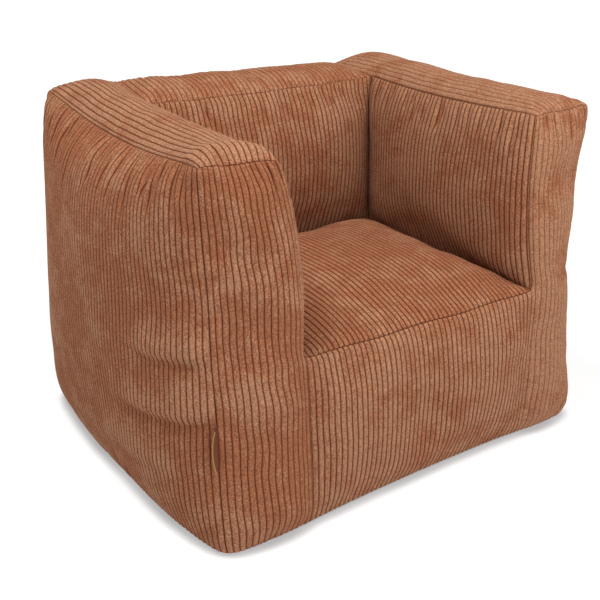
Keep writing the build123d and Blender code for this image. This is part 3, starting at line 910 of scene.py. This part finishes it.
def weave(name, grid):
    """Mesh of one corduroy panel: wales and creases over its settled grid, closed by a plain back."""
    cord = bpy.context.scene.chair_corduroy
    kind = name.replace("left_", "").replace("right_", "").replace("_panel", "")
    flip = FLIPS[name]
    count_u, count_v = grid.shape[:2]
    grid, shared_grid = evened(grid, seam_normals()[name])
    across, along = lengths(grid)
    random = np.random.default_rng([bpy.context.scene.chair_cover.seed, *name.encode()])

    # Lines of points across and along the wales
    first = EDGE_PHASES.get(name, random.random())
    last = first + across / cord.wale_pitch
    turns = (np.arange(int(last) + 1)[:, None] + WALE_PHASES).ravel()
    turns = turns[(turns > first + PHASE_GAP) & (turns < last - PHASE_GAP)]
    turns = np.concatenate([[first], turns, [last]])
    panel_u = (turns - first) * cord.wale_pitch
    panel_v = np.linspace(0, along, max(LEAST_ROWS, round(along / cord.row)) + 1)
    panel_v = np.concatenate([[0], SEAM_ROWS, panel_v[1:-1], along - SEAM_ROWS[::-1], [along]])
    read_u = spline_weights(panel_u / across * (count_u - 1), count_u)
    read_v = spline_weights(panel_v / along * (count_v - 1), count_v)
    smooth = np.einsum("ia,abk,jb->ijk", read_u, grid, read_v, optimize=True)
    edge_u = np.minimum(panel_u, across - panel_u)[:, None]
    edge_v = np.minimum(panel_v, along - panel_v)[None, :]
    edge = np.minimum(edge_u, edge_v)

    # Creases and dents, and wales that wander
    marks = [*FOLDS.get(name, ()), *gathered(kind, across, along, random)]
    creases = strokes(panel_u, panel_v, marks) * edge_rise(edge, CREASE_REACH)
    flat = np.stack(np.broadcast_arrays(panel_u[:, None], panel_v[None, :], 0.0), axis=-1).reshape(-1, 3)
    seed = [*name.encode()]
    inside = edge_rise(edge, DENT_REACH) * DENT_SHARES.get(kind, 1.0)
    creases += cord.dents * inside * ripples(flat, [*seed, 1], DENT_SIZE).reshape(edge.shape)
    wander = cord.wander * inside * ripples(flat, [*seed, 2], WANDER_SIZE).reshape(edge.shape)
    sideways = np.gradient(smooth, axis=0)
    smooth = smooth + sideways / np.linalg.norm(sideways, axis=2, keepdims=True) * wander[..., None]

    # Pressed seams, and the pile
    shared = np.einsum("ia,abk,jb->ijk", read_u, shared_grid, read_v, optimize=True)
    shared /= np.linalg.norm(shared, axis=2, keepdims=True)
    quiet = np.clip((QUIET_SEAMS.get(name, 0) - panel_v[None, :] / along) / QUIET_FADE, 0, 1)
    seen_u = np.minimum(panel_u[:, None], across - panel_u[:, None] + QUIET_GAP * quiet)
    edge = np.minimum(seen_u, edge_v)
    seam_share = SEAM_SHARES.get(kind, 1.0)
    less = 1 - CORNER_SHARE * bell(np.hypot(edge_u, edge_v), CORNER_REACH)
    groove = SEAM_DEPTH * seam_share * bell(edge, SEAM_WIDTH) * less
    smooth = smooth + normals(smooth, flip) * creases[..., None] - shared * groove[..., None]
    rise = wale_rise(turns)[:, None]
    pile = rise * (1 - bell(edge, PRESS_WIDTH))
    face = smooth + normals(smooth, flip) * (cord.wale_height * pile)[..., None]

    # A plain back on the grooves and some rows
    grooves = np.flatnonzero(np.isclose(turns % 1, 0))
    back_u = np.unique(np.concatenate([[0], grooves, [len(turns) - 1]]))
    back_v = np.unique(np.concatenate([np.arange(0, len(panel_v), BACK_STEP), [len(panel_v) - 1]]))
    on_back = np.ix_(back_u, back_v)
    back = (smooth - normals(smooth, flip) * cord.cloth)[on_back].reshape(-1, 3)
    mesh = bpy.data.meshes.new(name)
    faces = closed_faces(face.shape[:2], back_u, back_v, flip)
    mesh.from_pydata(np.concatenate([face.reshape(-1, 3), back]).tolist(), [], faces)

    # Values for the material: pile, fold and places on the weave. The pile value paints shade into the
    # grooves and beside seams, and the fold value paints shade into creases, light onto rolls, and light
    # and shade onto whole panels
    # Per panel: how strongly its grooves show their painted shade, and a shift that paints the whole panel
    # lighter or darker as painted light and shade
    groove_shade_share, brushed = PANEL_SHADING.get(name, (1.0, 0.0))
    blank = np.zeros(len(back))
    # The pile value falls in the grooves and beside seams, where it paints shade
    seen = 1 - groove_shade_share * (1 - rise * (1 - SHADE * seam_share * bell(edge, SHADE_WIDTH)))
    add_values(mesh, "pile", np.concatenate([seen.ravel(), blank]))
    add_values(mesh, "fold", np.concatenate([(creases / FOLD_STEP + brushed).ravel(), blank]))
    places = np.broadcast_arrays(turns[:, None], panel_v[None, :] / cord.wale_pitch)
    places = np.stack(places, axis=-1)
    places = np.concatenate([places.reshape(-1, 2), places[on_back].reshape(-1, 2)])
    loops = np.empty(len(mesh.loops), np.int32)
    mesh.loops.foreach_get("vertex_index", loops)
    mesh.uv_layers.new(name="weave").data.foreach_set("uv", places[loops].astype(np.float32).ravel())
    mesh.shade_smooth()
    mesh.set_sharp_from_angle(angle=CORD_EDGE)
    return mesh


def add_values(mesh, name, values):
    """Stores one number for each point of a mesh."""
    mesh.attributes.new(name, "FLOAT", "POINT").data.foreach_set("value", values.astype(np.float32))


# Points of a block nearer than this are one point
BLOCK_STEP = 1e-6


def rounded_block(low, high, radius, cell):
    """Points and faces of a closed block with rounded edges."""
    low, high = np.array(low), np.array(high)
    half = (high - low) / 2
    points, faces, offset = [], [], 0
    for axis in range(3):
        a, b = (axis + 1) % 3, (axis + 2) % 3
        along_a = np.linspace(-half[a], half[a], round(2 * half[a] / cell) + 1)
        along_b = np.linspace(-half[b], half[b], round(2 * half[b] / cell) + 1)
        for sign in (-1, 1):
            grid = np.zeros((len(along_a), len(along_b), 3))
            grid[..., axis] = sign * half[axis]
            grid[..., a] = along_a[:, None]
            grid[..., b] = along_b[None, :]
            points.append(grid.reshape(-1, 3))
            faces.append(grid_faces(len(along_a), len(along_b), sign) + offset)
            offset += len(along_a) * len(along_b)
    points = np.concatenate(points)
    core = np.clip(points, radius - half, half - radius)
    away = points - core
    rounded = core + radius * away / np.linalg.norm(away, axis=1, keepdims=True)
    rounded = rounded + (low + high) / 2
    first, place = joined(rounded, BLOCK_STEP)
    return rounded[first], place[np.concatenate(faces)]


def ripples(points, seed, scale, count=14, turn=2.2, spread=1.4):
    """Smooth seeded noise of about -1 to 1 at each point, with features about scale metres across."""
    random = np.random.default_rng(seed)
    waves = random.normal(size=(count, 3)) * (turn / np.asarray(scale))
    return np.sin(points @ waves.T + random.random(count) * 2 * math.pi).sum(1) / math.sqrt(count) / spread


def plain_mesh(name, points, faces):
    """Smooth shaded mesh."""
    mesh = bpy.data.meshes.new(name)
    mesh.from_pydata(np.asarray(points).tolist(), [], np.asarray(faces).tolist())
    mesh.shade_smooth()
    return mesh


def cloth_layer(name, grid, flip, thickness, keep=None):
    """Thin closed cloth over a grid of points, or over those of its cells that keep marks."""
    front = grid.reshape(-1, 3)
    back = (grid - normals(grid, flip) * thickness).reshape(-1, 3)
    total = len(front)
    quads = grid_faces(*grid.shape[:2], flip)
    if keep is not None:
        quads = quads[keep.ravel()]
    edges = np.concatenate([quads[:, [k, (k + 1) % 4]] for k in range(4)])
    known = {tuple(edge) for edge in edges.tolist()}
    rim = sorted((a, b) for a, b in known if (b, a) not in known)
    rim = [(b, a, a + total, b + total) for a, b in rim]
    faces = np.concatenate([quads, quads[:, ::-1] + total, rim])
    used, order = np.unique(faces, return_inverse=True)
    mesh = plain_mesh(name, np.concatenate([front, back])[used], order.reshape(faces.shape))
    mesh.set_sharp_from_angle(angle=CLOTH_EDGE)
    return mesh


@cache
def cover_tree():
    """Search tree over the settled cover, with the corners of its quads and the shared normals there."""
    points, _, quads = welded_cover(cover_form())
    facing = point_normals(points, quads)
    return BVHTree.FromPolygons(points.tolist(), quads.tolist()), points[quads], facing[quads]


def kept_inside(points, gap, tries=4, past=1.05, blur=1e-7):
    """Points, with those that are nearer than gap to the cover or past it moved in."""
    tree, corners, facings = cover_tree()
    moved = points.copy()
    for index, point in enumerate(points.reshape(-1, 3)):
        for _ in range(tries):
            near, _, face, _ = tree.find_nearest(point)
            near = np.array(near)
            weight = 1 / (np.linalg.norm(corners[face] - near, axis=1) ** 2 + blur)
            facing = weight @ facings[face]
            facing /= np.linalg.norm(facing)
            if (point - near) @ facing <= -gap:
                break
            point = near - facing * gap * past
        moved.reshape(-1, 3)[index] = point
    return moved


def put(name, mesh, material, slot, *nodes, body="cover"):
    """Adds a piece to the scene in the place of CAD nodes."""
    piece = bpy.data.objects.new(name, mesh)
    bpy.context.scene.collection.objects.link(piece)
    mesh.materials.append(material)
    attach(piece, body)
    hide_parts(*nodes)
    return piece


# Materials


# Plain woven cloths: colours of warp and weft, waves of threads in radians a metre, and strength
# of the relief
CLOTHS = {
    "base_cloth": ((0.055, 0.03, 0.02), (0.04, 0.022, 0.015), 3000, 0.3),
    "bag_cloth": ((0.72, 0.7, 0.66), (0.62, 0.6, 0.56), 5200, 0.25),
    "lining_cloth": ((0.2, 0.1, 0.065), (0.16, 0.08, 0.05), 4200, 0.25),
    "zip_tape_cloth": ((0.16, 0.075, 0.045), (0.11, 0.05, 0.03), 6500, 0.4),
}
# Pile: scales of its patches, of its streaks on the weave and of its fibres
PATCH_SCALE, STREAK_SCALE, FIBRE_SCALE = 16.0, (0.28, 0.3, 1.0), 600.0
# How far folds and fibres shift the patches, and the range of their sum from light to dark. The folds'
# shift is painted shade in creases and painted light on rolls, and it also paints whole panels lighter or
# darker
FOLD_SHADE, FIBRE_SHIFT, PATCH_RANGE = -0.3, -0.45, (0.68, 1.02)
# Ranges of the fibres and of the speckle that they make, and of the pile value from groove to crown, over
# which the painted groove shade fades out
SPECKLE, CROWN_RANGE = (0.36, 0.66, 0.64, 1.38), (0.22, 0.84)
SHEEN_TINT = (1.0, 0.74, 0.56, 1)
# Moulded and cast hardware: colour, share of metal and roughness
CASTS = {
    "zip_teeth_moulded": ((0.14, 0.06, 0.035), 0.0, 0.4),
    "zip_metal_cast": ((0.42, 0.3, 0.17), 1.0, 0.35),
}
# Colours of the label's faces, dark as painted shade, and of its fold, and of the gaps between beads, grey
# as painted shade, and of their tops
LABEL_FACE_SHADE, LABEL_FOLD = (0.15, 0.052, 0.024), (0.36, 0.185, 0.072)
BEAD_GAP_SHADE, BEAD_TOP = (0.5, 0.5, 0.49), (0.86, 0.86, 0.84)


class Shading:
    """Material that is being built: adds nodes, and sets or links their inputs."""

    def __init__(self, name):
        self.material = bpy.data.materials.new(name)
        self.material.use_nodes = True
        self.tree = self.material.node_tree

    def fill(self, node, inputs):
        """Links each input that is given a socket, and sets the others."""
        for key, value in inputs.items():
            if isinstance(value, bpy.types.NodeSocket):
                self.tree.links.new(value, node.inputs[key])
            else:
                node.inputs[key].default_value = value

    def add(self, kind, inputs, output=0, **options):
        """Output of a new node."""
        node = self.tree.nodes.new(f"ShaderNode{kind}")
        for key, value in options.items():
            setattr(node, key, value)
        self.fill(node, inputs)
        return node.outputs[output]

    def place(self):
        return self.add("TexCoord", {}, "Object")

    def value(self, name):
        return self.add("Attribute", {}, "Fac", attribute_name=name)

    def noise(self, place, scale, detail, rough=0.5):
        inputs = {"Vector": place, "Scale": scale, "Detail": detail, "Roughness": rough}
        return self.add("TexNoise", inputs, "Fac")

    def maths(self, operation, *values):
        return self.add("Math", dict(enumerate(values)), operation=operation)

    def remap(self, value, low=0.0, high=1.0, to_low=0.0, to_high=1.0, form="LINEAR"):
        inputs = {"Value": value, "From Min": low, "From Max": high, "To Min": to_low, "To Max": to_high}
        return self.add("MapRange", inputs, interpolation_type=form)

    def scaled(self, colour, share):
        return self.add("VectorMath", {0: colour, 1: share}, operation="MULTIPLY")

    def mix(self, share, *colours):
        """Mix of two colours, each a socket or a fixed colour. Sockets 6 and 7 are the node's colours."""
        inputs = {"Factor": share}
        for socket, colour in zip((6, 7), colours):
            fixed = not isinstance(colour, bpy.types.NodeSocket)
            inputs[socket] = (*colour, 1) if fixed else colour
        return self.add("Mix", inputs, 2, data_type="RGBA", blend_type="MIX")

    def relief(self, height, strength, distance):
        return self.add("Bump", {"Height": height, "Strength": strength, "Distance": distance})

    def done(self, **inputs):
        """The material, with the shader's inputs set. Underscores stand for spaces."""
        named = {key.replace("_", " "): value for key, value in inputs.items()}
        self.fill(self.tree.nodes["Principled BSDF"], named)
        return self.material


@cache
def corduroy():
    """Velvety ribbed pile: light and dark patches where it is brushed, and dark grooves of painted shade.
    Creases and seams get painted shade, rolls painted light, and whole panels are painted lighter or
    darker.
    """
    cord = bpy.context.scene.chair_corduroy
    look = Shading("corduroy")
    pile, fold, place = look.value("pile"), look.value("fold"), look.place()
    on_weave = look.add("UVMap", {}, "UV", uv_map="weave")
    broad = look.noise(place, PATCH_SCALE, 3.0, 0.6)
    stretched = look.add("Mapping", {"Vector": on_weave, "Scale": STREAK_SCALE})
    brushed = look.noise(stretched, 1.0, 3.0)
    fibre = look.noise(place, FIBRE_SCALE, 2.0, 0.7)
    # Painted shade in creases, painted light on rolls, and painted light and shade on whole panels, added
    # to the random patches of brushed pile
    folded = look.maths("MULTIPLY_ADD", fold, FOLD_SHADE, look.maths("ADD", broad, brushed))
    tone_and_fold_shade = look.maths("MULTIPLY_ADD", fibre, FIBRE_SHIFT, folded)
    pile_colour_and_shade = look.mix(look.remap(tone_and_fold_shade, *PATCH_RANGE), cord.light, cord.dark)
    speckled_and_shaded = look.scaled(pile_colour_and_shade, look.remap(fibre, *SPECKLE))
    # Painted shade: the groove colour takes over where the pile value is low, in the grooves and beside
    # seams
    depth = look.remap(pile, *CROWN_RANGE, form="SMOOTHSTEP")
    return look.done(
        Base_Color=look.mix(depth, cord.groove, speckled_and_shaded), Normal=look.relief(fibre, 0.35, 0.0006),
        Roughness=0.95, Specular_IOR_Level=0.04,
        Sheen_Weight=0.09, Sheen_Roughness=0.45, Sheen_Tint=SHEEN_TINT,
    )


def woven(name):
    """Plain woven cloth: crossing threads of two close colours, with a faint uneven wear."""
    warp, weft, threads, strength = CLOTHS[name]
    look = Shading(name)
    place = look.place()
    waves = []
    for turn in ((1, 1, 0), (0, 0, 1)):
        along = look.add("VectorMath", {0: place, 1: turn}, "Value", operation="DOT_PRODUCT")
        waves.append(look.maths("SINE", look.maths("MULTIPLY", along, threads)))
    share = look.remap(look.maths("MULTIPLY", *waves), -1.0)
    wear = look.remap(look.noise(place, 60.0, 4.0), to_low=0.82, to_high=1.14)
    return look.done(
        Base_Color=look.scaled(look.mix(share, warp, weft), wear),
        Normal=look.relief(share, strength, 0.0004),
        Roughness=0.9, Specular_IOR_Level=0.2, Sheen_Weight=0.1,
    )


@cache
def beads_material():
    """Heaped white foam beads, grey in the gaps between them as painted shade."""
    look = Shading("foam_beads")
    cells = look.add("TexVoronoi", {"Vector": look.place(), "Scale": 240.0}, "Distance")
    round_top = look.remap(cells, 0.0, 0.7, 1.0, 0.0)
    return look.done(
        Base_Color=look.mix(round_top, BEAD_GAP_SHADE, BEAD_TOP), Normal=look.relief(round_top, 0.9, 0.002),
        Roughness=0.7,
    )


def cast_material(name):
    """Moulded or cast hardware with fine wear."""
    colour, metal, rough = CASTS[name]
    look = Shading(name)
    wear = look.noise(look.place(), 900.0, 4.0, 0.7)
    return look.done(
        Base_Color=look.scaled(colour, look.remap(wear, 0.3, 0.7, 0.8, 1.1)), Metallic=metal,
        Roughness=look.remap(wear, to_low=rough - 0.1, to_high=rough + 0.1),
    )


def label_material():
    """Close weave, dark on its faces as painted shade, with a golden fold."""
    look = Shading("label_cloth")
    fold = look.value("fold")
    threads = look.noise(look.place(), 1800.0, 2.0)
    colour = look.mix(fold, LABEL_FACE_SHADE, LABEL_FOLD)
    return look.done(
        Base_Color=look.scaled(colour, look.remap(threads, to_low=0.7, to_high=1.3)),
        Normal=look.relief(threads, 0.4, 0.0002), Roughness=0.9, Specular_IOR_Level=0.1,
    )


@cache
def plain_floor():
    """Pale studio floor that glows a little, with less light close under the chair."""
    look = Shading("studio_floor")
    far = look.add("VectorMath", {0: look.place()}, "Value", operation="LENGTH")
    glow = look.remap(far, 0.4, 1.2, 0.78, 0.97, form="SMOOTHSTEP")
    closeness = look.add("AmbientOcclusion", {"Distance": 0.016}, "AO", samples=16)
    contact = look.remap(closeness, 0.35, 0.9, 0.4, form="SMOOTHSTEP")
    return look.done(
        Base_Color=(*bpy.context.scene.chair_stage.floor, 1), Roughness=1.0,
        Emission_Color=(1, 1, 1, 1), Emission_Strength=look.maths("MULTIPLY", glow, contact),
    )


# Operators


# Base cloth: share of the base's size, height of its lower face, distance over which it rises to its seam,
# and thickness
BASE_SHARE, BASE_REST, BASE_RISE, BASE_THICK = (0.985, 0.985, 1), 0.0014, 0.03, 0.0012
# Bags and beads: inset from the CAD filling, radius of the edges and least gap to the cover
FILLINGS = {"inner_bag": (0.008, 0.026, 0.006), "beads": (0.012, 0.022, 0.0095)}
FILLING_CELL = 0.007
# Height and size of the lumps, and of the bags' small puckers
LUMPS, LUMP_SIZE = 0.0022, (0.05, 0.05, 0.03)
PUCKERS, PUCKER_SIZE = 0.0007, (0.016, 0.016, 0.03)
# Linings: inset from the CAD sheet, grid size and thickness, then height and size of the waves and least
# gap to the cover
LINING_EDGE, LINING_CELL, LINING_THICK = 0.012, 0.008, 0.0008
LINING_WAVES, LINING_WAVE_SIZE, LINING_GAP = 0.0012, 0.06, 0.004


class CHAIR_OT_cover(bpy.types.Operator):
    """Sews the corduroy panels of the cover"""

    bl_idname = "chair.cover"
    bl_label = "Cover"

    def execute(self, context):
        for name, grid in cover_form().items():
            if name not in STILL_PANELS:
                piece = put(f"cord_{name}", weave(name, grid), corduroy(), "corduroy", name)
        return {"FINISHED"}


class CHAIR_OT_base(bpy.types.Operator):
    """Adds the plain cloth under the chair"""

    bl_idname = "chair.base"
    bl_label = "Base"

    def execute(self, context):
        grid = cover_form()["base_panel"] * BASE_SHARE
        edge = np.minimum.reduce(np.broadcast_arrays(*from_edges(grid)[2]))
        grid[..., 2] -= (grid[..., 2] - BASE_REST) * edge_rise(edge, BASE_RISE)
        mesh = cloth_layer("base_cloth", grid, FLIPS["base_panel"], -BASE_THICK)
        piece = put("base_cloth", mesh, woven("base_cloth"), "base_cloth", "base_panel")
        return {"FINISHED"}


class CHAIR_OT_filling(bpy.types.Operator):
    """Adds the four inner bags and the beads in them"""

    bl_idname = "chair.filling"
    bl_label = "Filling"

    def execute(self, context):
        materials = {"inner_bag": woven("bag_cloth"), "beads": beads_material()}
        for number, chamber in enumerate(("left_arm", "right_arm", "seat", "back")):
            low, high = (np.array(corner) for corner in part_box(f"{chamber}_beads"))
            for kind, (inset, radius, gap) in FILLINGS.items():
                points, faces = rounded_block(low + inset, high - inset, radius, FILLING_CELL)
                away = points - (low + high) / 2
                away /= np.linalg.norm(away, axis=1, keepdims=True)
                lumps = LUMPS * ripples(points, [number, 3], LUMP_SIZE)
                if kind == "inner_bag":
                    lumps += PUCKERS * ripples(points, [number, 7], PUCKER_SIZE)
                points = kept_inside(points + away * lumps[:, None], gap)
                mesh = plain_mesh(f"{chamber}_{kind}", points, faces)
                piece = put(f"{chamber}_{kind}_fill", mesh, materials[kind], kind, f"{chamber}_{kind}")
        return {"FINISHED"}


def wavy_sheet(axis, place, across, z, seed):
    """Upright grid of points at a place on one axis, with faint seeded waves."""
    grid = np.zeros((len(across), len(z), 3))
    grid[..., 1 - axis] = across[:, None]
    grid[..., 2] = z[None, :]
    waves = ripples(grid.reshape(-1, 3), seed, LINING_WAVE_SIZE).reshape(grid.shape[:2])
    grid[..., axis] = place + LINING_WAVES * waves
    return kept_inside(grid, LINING_GAP)


class CHAIR_OT_dividers(bpy.types.Operator):
    """Adds the linings between the chambers"""

    bl_idname = "chair.dividers"
    bl_label = "Dividers"

    def execute(self, context):
        cloth = woven("lining_cloth")
        edge, cell = LINING_EDGE, LINING_CELL
        for word, side in SIDES.items():
            low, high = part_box(f"{word}_divider")
            y, _ = rows(cell, low.y + edge, REST_Y + edge, high.y - edge)
            z, _ = rows(cell, low.z + edge, SEAT_Z - edge, high.z - edge)
            grid = wavy_sheet(0, (low.x + high.x) / 2, y, z, [5, side + 1])
            keep = (y[:-1, None] > REST_Y) | (z[None, :-1] < SEAT_Z - edge - cell / 2)
            mesh = cloth_layer(f"{word}_lining", grid, 1, LINING_THICK, keep)
            piece = put(f"{word}_lining", mesh, cloth, "lining", f"{word}_divider")
        low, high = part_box("back_divider")
        x, _ = rows(cell, low.x + edge, high.x - edge)
        z, _ = rows(cell, low.z + edge, high.z - edge)
        grid = wavy_sheet(1, (low.y + high.y) / 2, x, z, [5, 9])
        mesh = cloth_layer("back_lining", grid, 1, LINING_THICK)
        piece = put("back_lining", mesh, cloth, "lining", "back_divider")
        return {"FINISHED"}


# Label: reach out of its seam, half the thickness of its fold, length inside the seam, and cloth thickness
LABEL_REACH, LABEL_HALF, LABEL_BURIED, LABEL_THICK = 0.0128, 0.0006, 0.002, 0.0004
# Points up the label, along each leaf, and round its fold with both ends
LABEL_ROWS, LEAF_POINTS, FOLD_POINTS = 20, 12, 7
# How far the label's middle curls to the side, how much less its ends do, and the depth over which its
# fold turns golden
LABEL_CURL, LABEL_CURL_ENDS, GOLDEN_RISE = 0.0022, 0.0030, 0.0003


class CHAIR_OT_label(bpy.types.Operator):
    """Adds the folded blank label in the left front seam"""

    bl_idname = "chair.label"
    bl_label = "Label"

    def execute(self, context):
        low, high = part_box("side_label")
        line = cover_form()["left_side_panel"][0]
        facing = seam_normals()["left_side_panel"][0]
        z = np.linspace(low.z, high.z, LABEL_ROWS)
        root, out = (
            np.stack([np.interp(z, line[:, 2], values[:, k]) for k in range(3)], axis=-1)
            for values in (line, facing)
        )
        out[:, 2] = 0
        out /= np.linalg.norm(out, axis=1, keepdims=True)
        beside = np.stack([out[:, 1], -out[:, 0], out[:, 2]], axis=-1)
        leaf = np.linspace(-LABEL_BURIED, LABEL_REACH, LEAF_POINTS)
        bend = np.linspace(0, math.pi, FOLD_POINTS)[1:-1]
        depth = np.concatenate([leaf, LABEL_REACH + LABEL_HALF * np.sin(bend), leaf[::-1]])
        flat = np.full(LEAF_POINTS, LABEL_HALF)
        aside = np.concatenate([flat, LABEL_HALF * np.cos(bend), -flat])
        share = np.clip(depth / LABEL_REACH, 0, 1)[:, None]
        ends = np.linspace(-1, 1, LABEL_ROWS) ** 2
        curl = share**2 * (LABEL_CURL - LABEL_CURL_ENDS * ends)[None, :]
        grid = root[None] + out[None] * depth[:, None, None]
        grid = grid + beside[None] * (aside[:, None] + curl)[..., None]
        mesh = cloth_layer("side_tab", grid, 1, LABEL_THICK)
        golden = np.repeat(np.clip((depth - LABEL_REACH) / GOLDEN_RISE, 0, 1), LABEL_ROWS)
        add_values(mesh, "fold", np.concatenate([golden, golden]))
        piece = put("side_tab", mesh, label_material(), "label", "side_label", body="side_label")
        return {"FINISHED"}


# Zip tapes: gap to the side seams, depth behind the cover there, grid sizes along and across
TAPE_GAP, TAPE_DEPTH, TAPE_CELL, TAPE_ROW = 0.0012, 0.0032, 0.002, 0.001
# Distance past the stops where the tapes turn to each other, and length of that turn
TAPE_PAST, TAPE_TURN = 0.002, 0.004
# Zip nodes that keep their CAD solids, with their materials
ZIP_LOOKS = {
    "zip_teeth_moulded": ("zip_upper_teeth", "zip_lower_teeth"),
    "zip_metal_cast": ("zip_end_stops", "zip_slider", "zip_pull"),
}


class CHAIR_OT_zip(bpy.types.Operator):
    """Adds the zip's tapes and gives its teeth, slider and pull their materials"""

    bl_idname = "chair.zip"
    bl_label = "Zip"

    def execute(self, context):
        cloth = woven("zip_tape_cloth")
        strip = cover_form()["zip_strip"]
        strip = strip[:, strip.shape[1] // 2]
        stops_low, stops_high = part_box("zip_end_stops")
        middle = (stops_low.z + stops_high.z) / 2
        for half in ("upper", "lower"):
            low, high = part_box(f"zip_{half}_tape")
            x, _ = rows(TAPE_CELL, strip[0, 0] + TAPE_GAP, strip[-1, 0] - TAPE_GAP)
            # Past its stops the tape follows the cover to the side seam, and meets the other tape
            y = np.minimum(high.y, np.interp(x, strip[:, 0], strip[:, 1]) - TAPE_DEPTH)
            past = np.maximum(x - stops_high.x, stops_low.x - x) - TAPE_PAST
            past = np.clip(past / TAPE_TURN, 0, 1)
            z_low, z_high = np.full(len(x), low.z), np.full(len(x), high.z)
            if half == "upper":
                z_low += past * (middle - low.z)
            else:
                z_high += past * (middle - high.z)
            t = shares(rows(TAPE_ROW, low.z, high.z)[0])
            grid = np.zeros((len(x), len(t), 3))
            grid[..., 0] = x[:, None]
            grid[..., 1] = y[:, None]
            grid[..., 2] = z_low[:, None] * (1 - t) + z_high[:, None] * t
            mesh = cloth_layer(f"zip_{half}_ribbon", grid, -1, high.y - low.y)
            piece = put(f"zip_{half}_ribbon", mesh, cloth, "zip_tape", f"zip_{half}_tape")
        for look, nodes in ZIP_LOOKS.items():
            material = cast_material(look)
            for node in nodes:
                mesh = bpy.data.objects[node].data
                mesh.materials.clear()
                mesh.materials.append(material)
        return {"FINISHED"}


# Half the floor's size
FLOOR_HALF = 15.0
# Glow of the surroundings by direction: from just above the horizon to higher up
SKY = {"From Min": 0.04, "From Max": 0.18, "To Min": 1.0, "To Max": 0.13}
# Soft lights: place, size and power in watts. All point at the chair's middle.
LAMPS = {
    "left_softbox": ((-0.62, 0.0, 1.8), 0.8, 22.7),
    "top_softbox": ((0.2, -0.85, 1.7), 0.7, 12),
    "front_softbox": ((0.75, -1.6, 1.1), 1.0, 9.0),
    "fill_softbox": ((-0.45, -1.7, 1.2), 1.0, 6.2),
}
LIT_POINT = Vector((0, 0, 0.15))
# Width of the camera's frame in millimetres
SENSOR_WIDTH = 36


class CHAIR_OT_stage(bpy.types.Operator):
    """Sets up the floor, the soft light and the camera"""

    bl_idname = "chair.stage"
    bl_label = "Stage"

    def execute(self, context):
        scene = context.scene
        settings = scene.chair_stage
        half = FLOOR_HALF
        mesh = bpy.data.meshes.new("floor")
        corners = [(-half, -half, 0), (half, -half, 0), (half, half, 0), (-half, half, 0)]
        mesh.from_pydata(corners, [], [(0, 1, 2, 3)])
        mesh.materials.append(plain_floor())
        floor = bpy.data.objects.new("floor", mesh)
        scene.collection.objects.link(floor)

        world = bpy.data.worlds.new("studio")
        world.use_nodes = True
        nodes, links = world.node_tree.nodes, world.node_tree.links
        nodes["Background"].inputs["Color"].default_value = (1, 1, 1, 1)
        heading = nodes.new("ShaderNodeTexCoord")
        parts = nodes.new("ShaderNodeSeparateXYZ")
        sky = nodes.new("ShaderNodeMapRange")
        sky.interpolation_type = "SMOOTHSTEP"
        for socket, value in SKY.items():
            sky.inputs[socket].default_value = value
        links.new(heading.outputs["Generated"], parts.inputs[0])
        links.new(parts.outputs["Z"], sky.inputs["Value"])
        links.new(sky.outputs[0], nodes["Background"].inputs["Strength"])
        scene.world = world

        for name, (place, size, power) in LAMPS.items():
            light = bpy.data.lights.new(name, "AREA")
            light.size = size
            light.energy = power
            lamp = bpy.data.objects.new(name, light)
            lamp.location = place
            lamp.rotation_euler = (LIT_POINT - Vector(place)).to_track_quat("-Z", "Y").to_euler()
            scene.collection.objects.link(lamp)

        lens = bpy.data.cameras.new("camera")
        lens.sensor_fit = "HORIZONTAL"
        lens.sensor_width = SENSOR_WIDTH
        lens.lens = settings.lens
        camera = bpy.data.objects.new("camera", lens)
        turn = Matrix.Rotation(-settings.camera_yaw, 4, "Z")
        turn = turn @ Matrix.Rotation(math.pi / 2 - settings.camera_pitch, 4, "X")
        turn = turn @ Matrix.Rotation(settings.camera_roll, 4, "Z")
        camera.matrix_world = Matrix.Translation(settings.camera_place) @ turn
        scene.collection.objects.link(camera)
        scene.camera = camera
        scene.view_settings.view_transform = "Standard"
        return {"FINISHED"}


class CHAIR_PT_panel(bpy.types.Panel):
    """Lists the steps that build the chair"""

    bl_idname = "CHAIR_PT_panel"
    bl_label = "Bean bag armchair"
    bl_space_type = "VIEW_3D"
    bl_region_type = "UI"
    bl_category = "Chair"

    def draw(self, context):
        for step in STEPS:
            self.layout.operator(step.bl_idname)


GROUPS = {"chair_cover": CoverSettings, "chair_corduroy": CorduroySettings, "chair_stage": StageSettings}
STEPS = (
    CHAIR_OT_cover, CHAIR_OT_base, CHAIR_OT_filling, CHAIR_OT_dividers, CHAIR_OT_label, CHAIR_OT_zip,
    CHAIR_OT_stage,
)


def register():
    for kind in (*GROUPS.values(), *STEPS, CHAIR_PT_panel):
        bpy.utils.register_class(kind)
    for name, kind in GROUPS.items():
        setattr(bpy.types.Scene, name, PointerProperty(type=kind))


def unregister():
    for name in GROUPS:
        delattr(bpy.types.Scene, name)
    for kind in (CHAIR_PT_panel, *STEPS[::-1], *list(GROUPS.values())[::-1]):
        bpy.utils.unregister_class(kind)


def main():
    register()
    bpy.ops.chair.cover()
    bpy.ops.chair.base()
    bpy.ops.chair.filling()
    bpy.ops.chair.dividers()
    bpy.ops.chair.label()
    bpy.ops.chair.zip()
    bpy.ops.chair.stage()


if __name__ == "__main__":
    main()
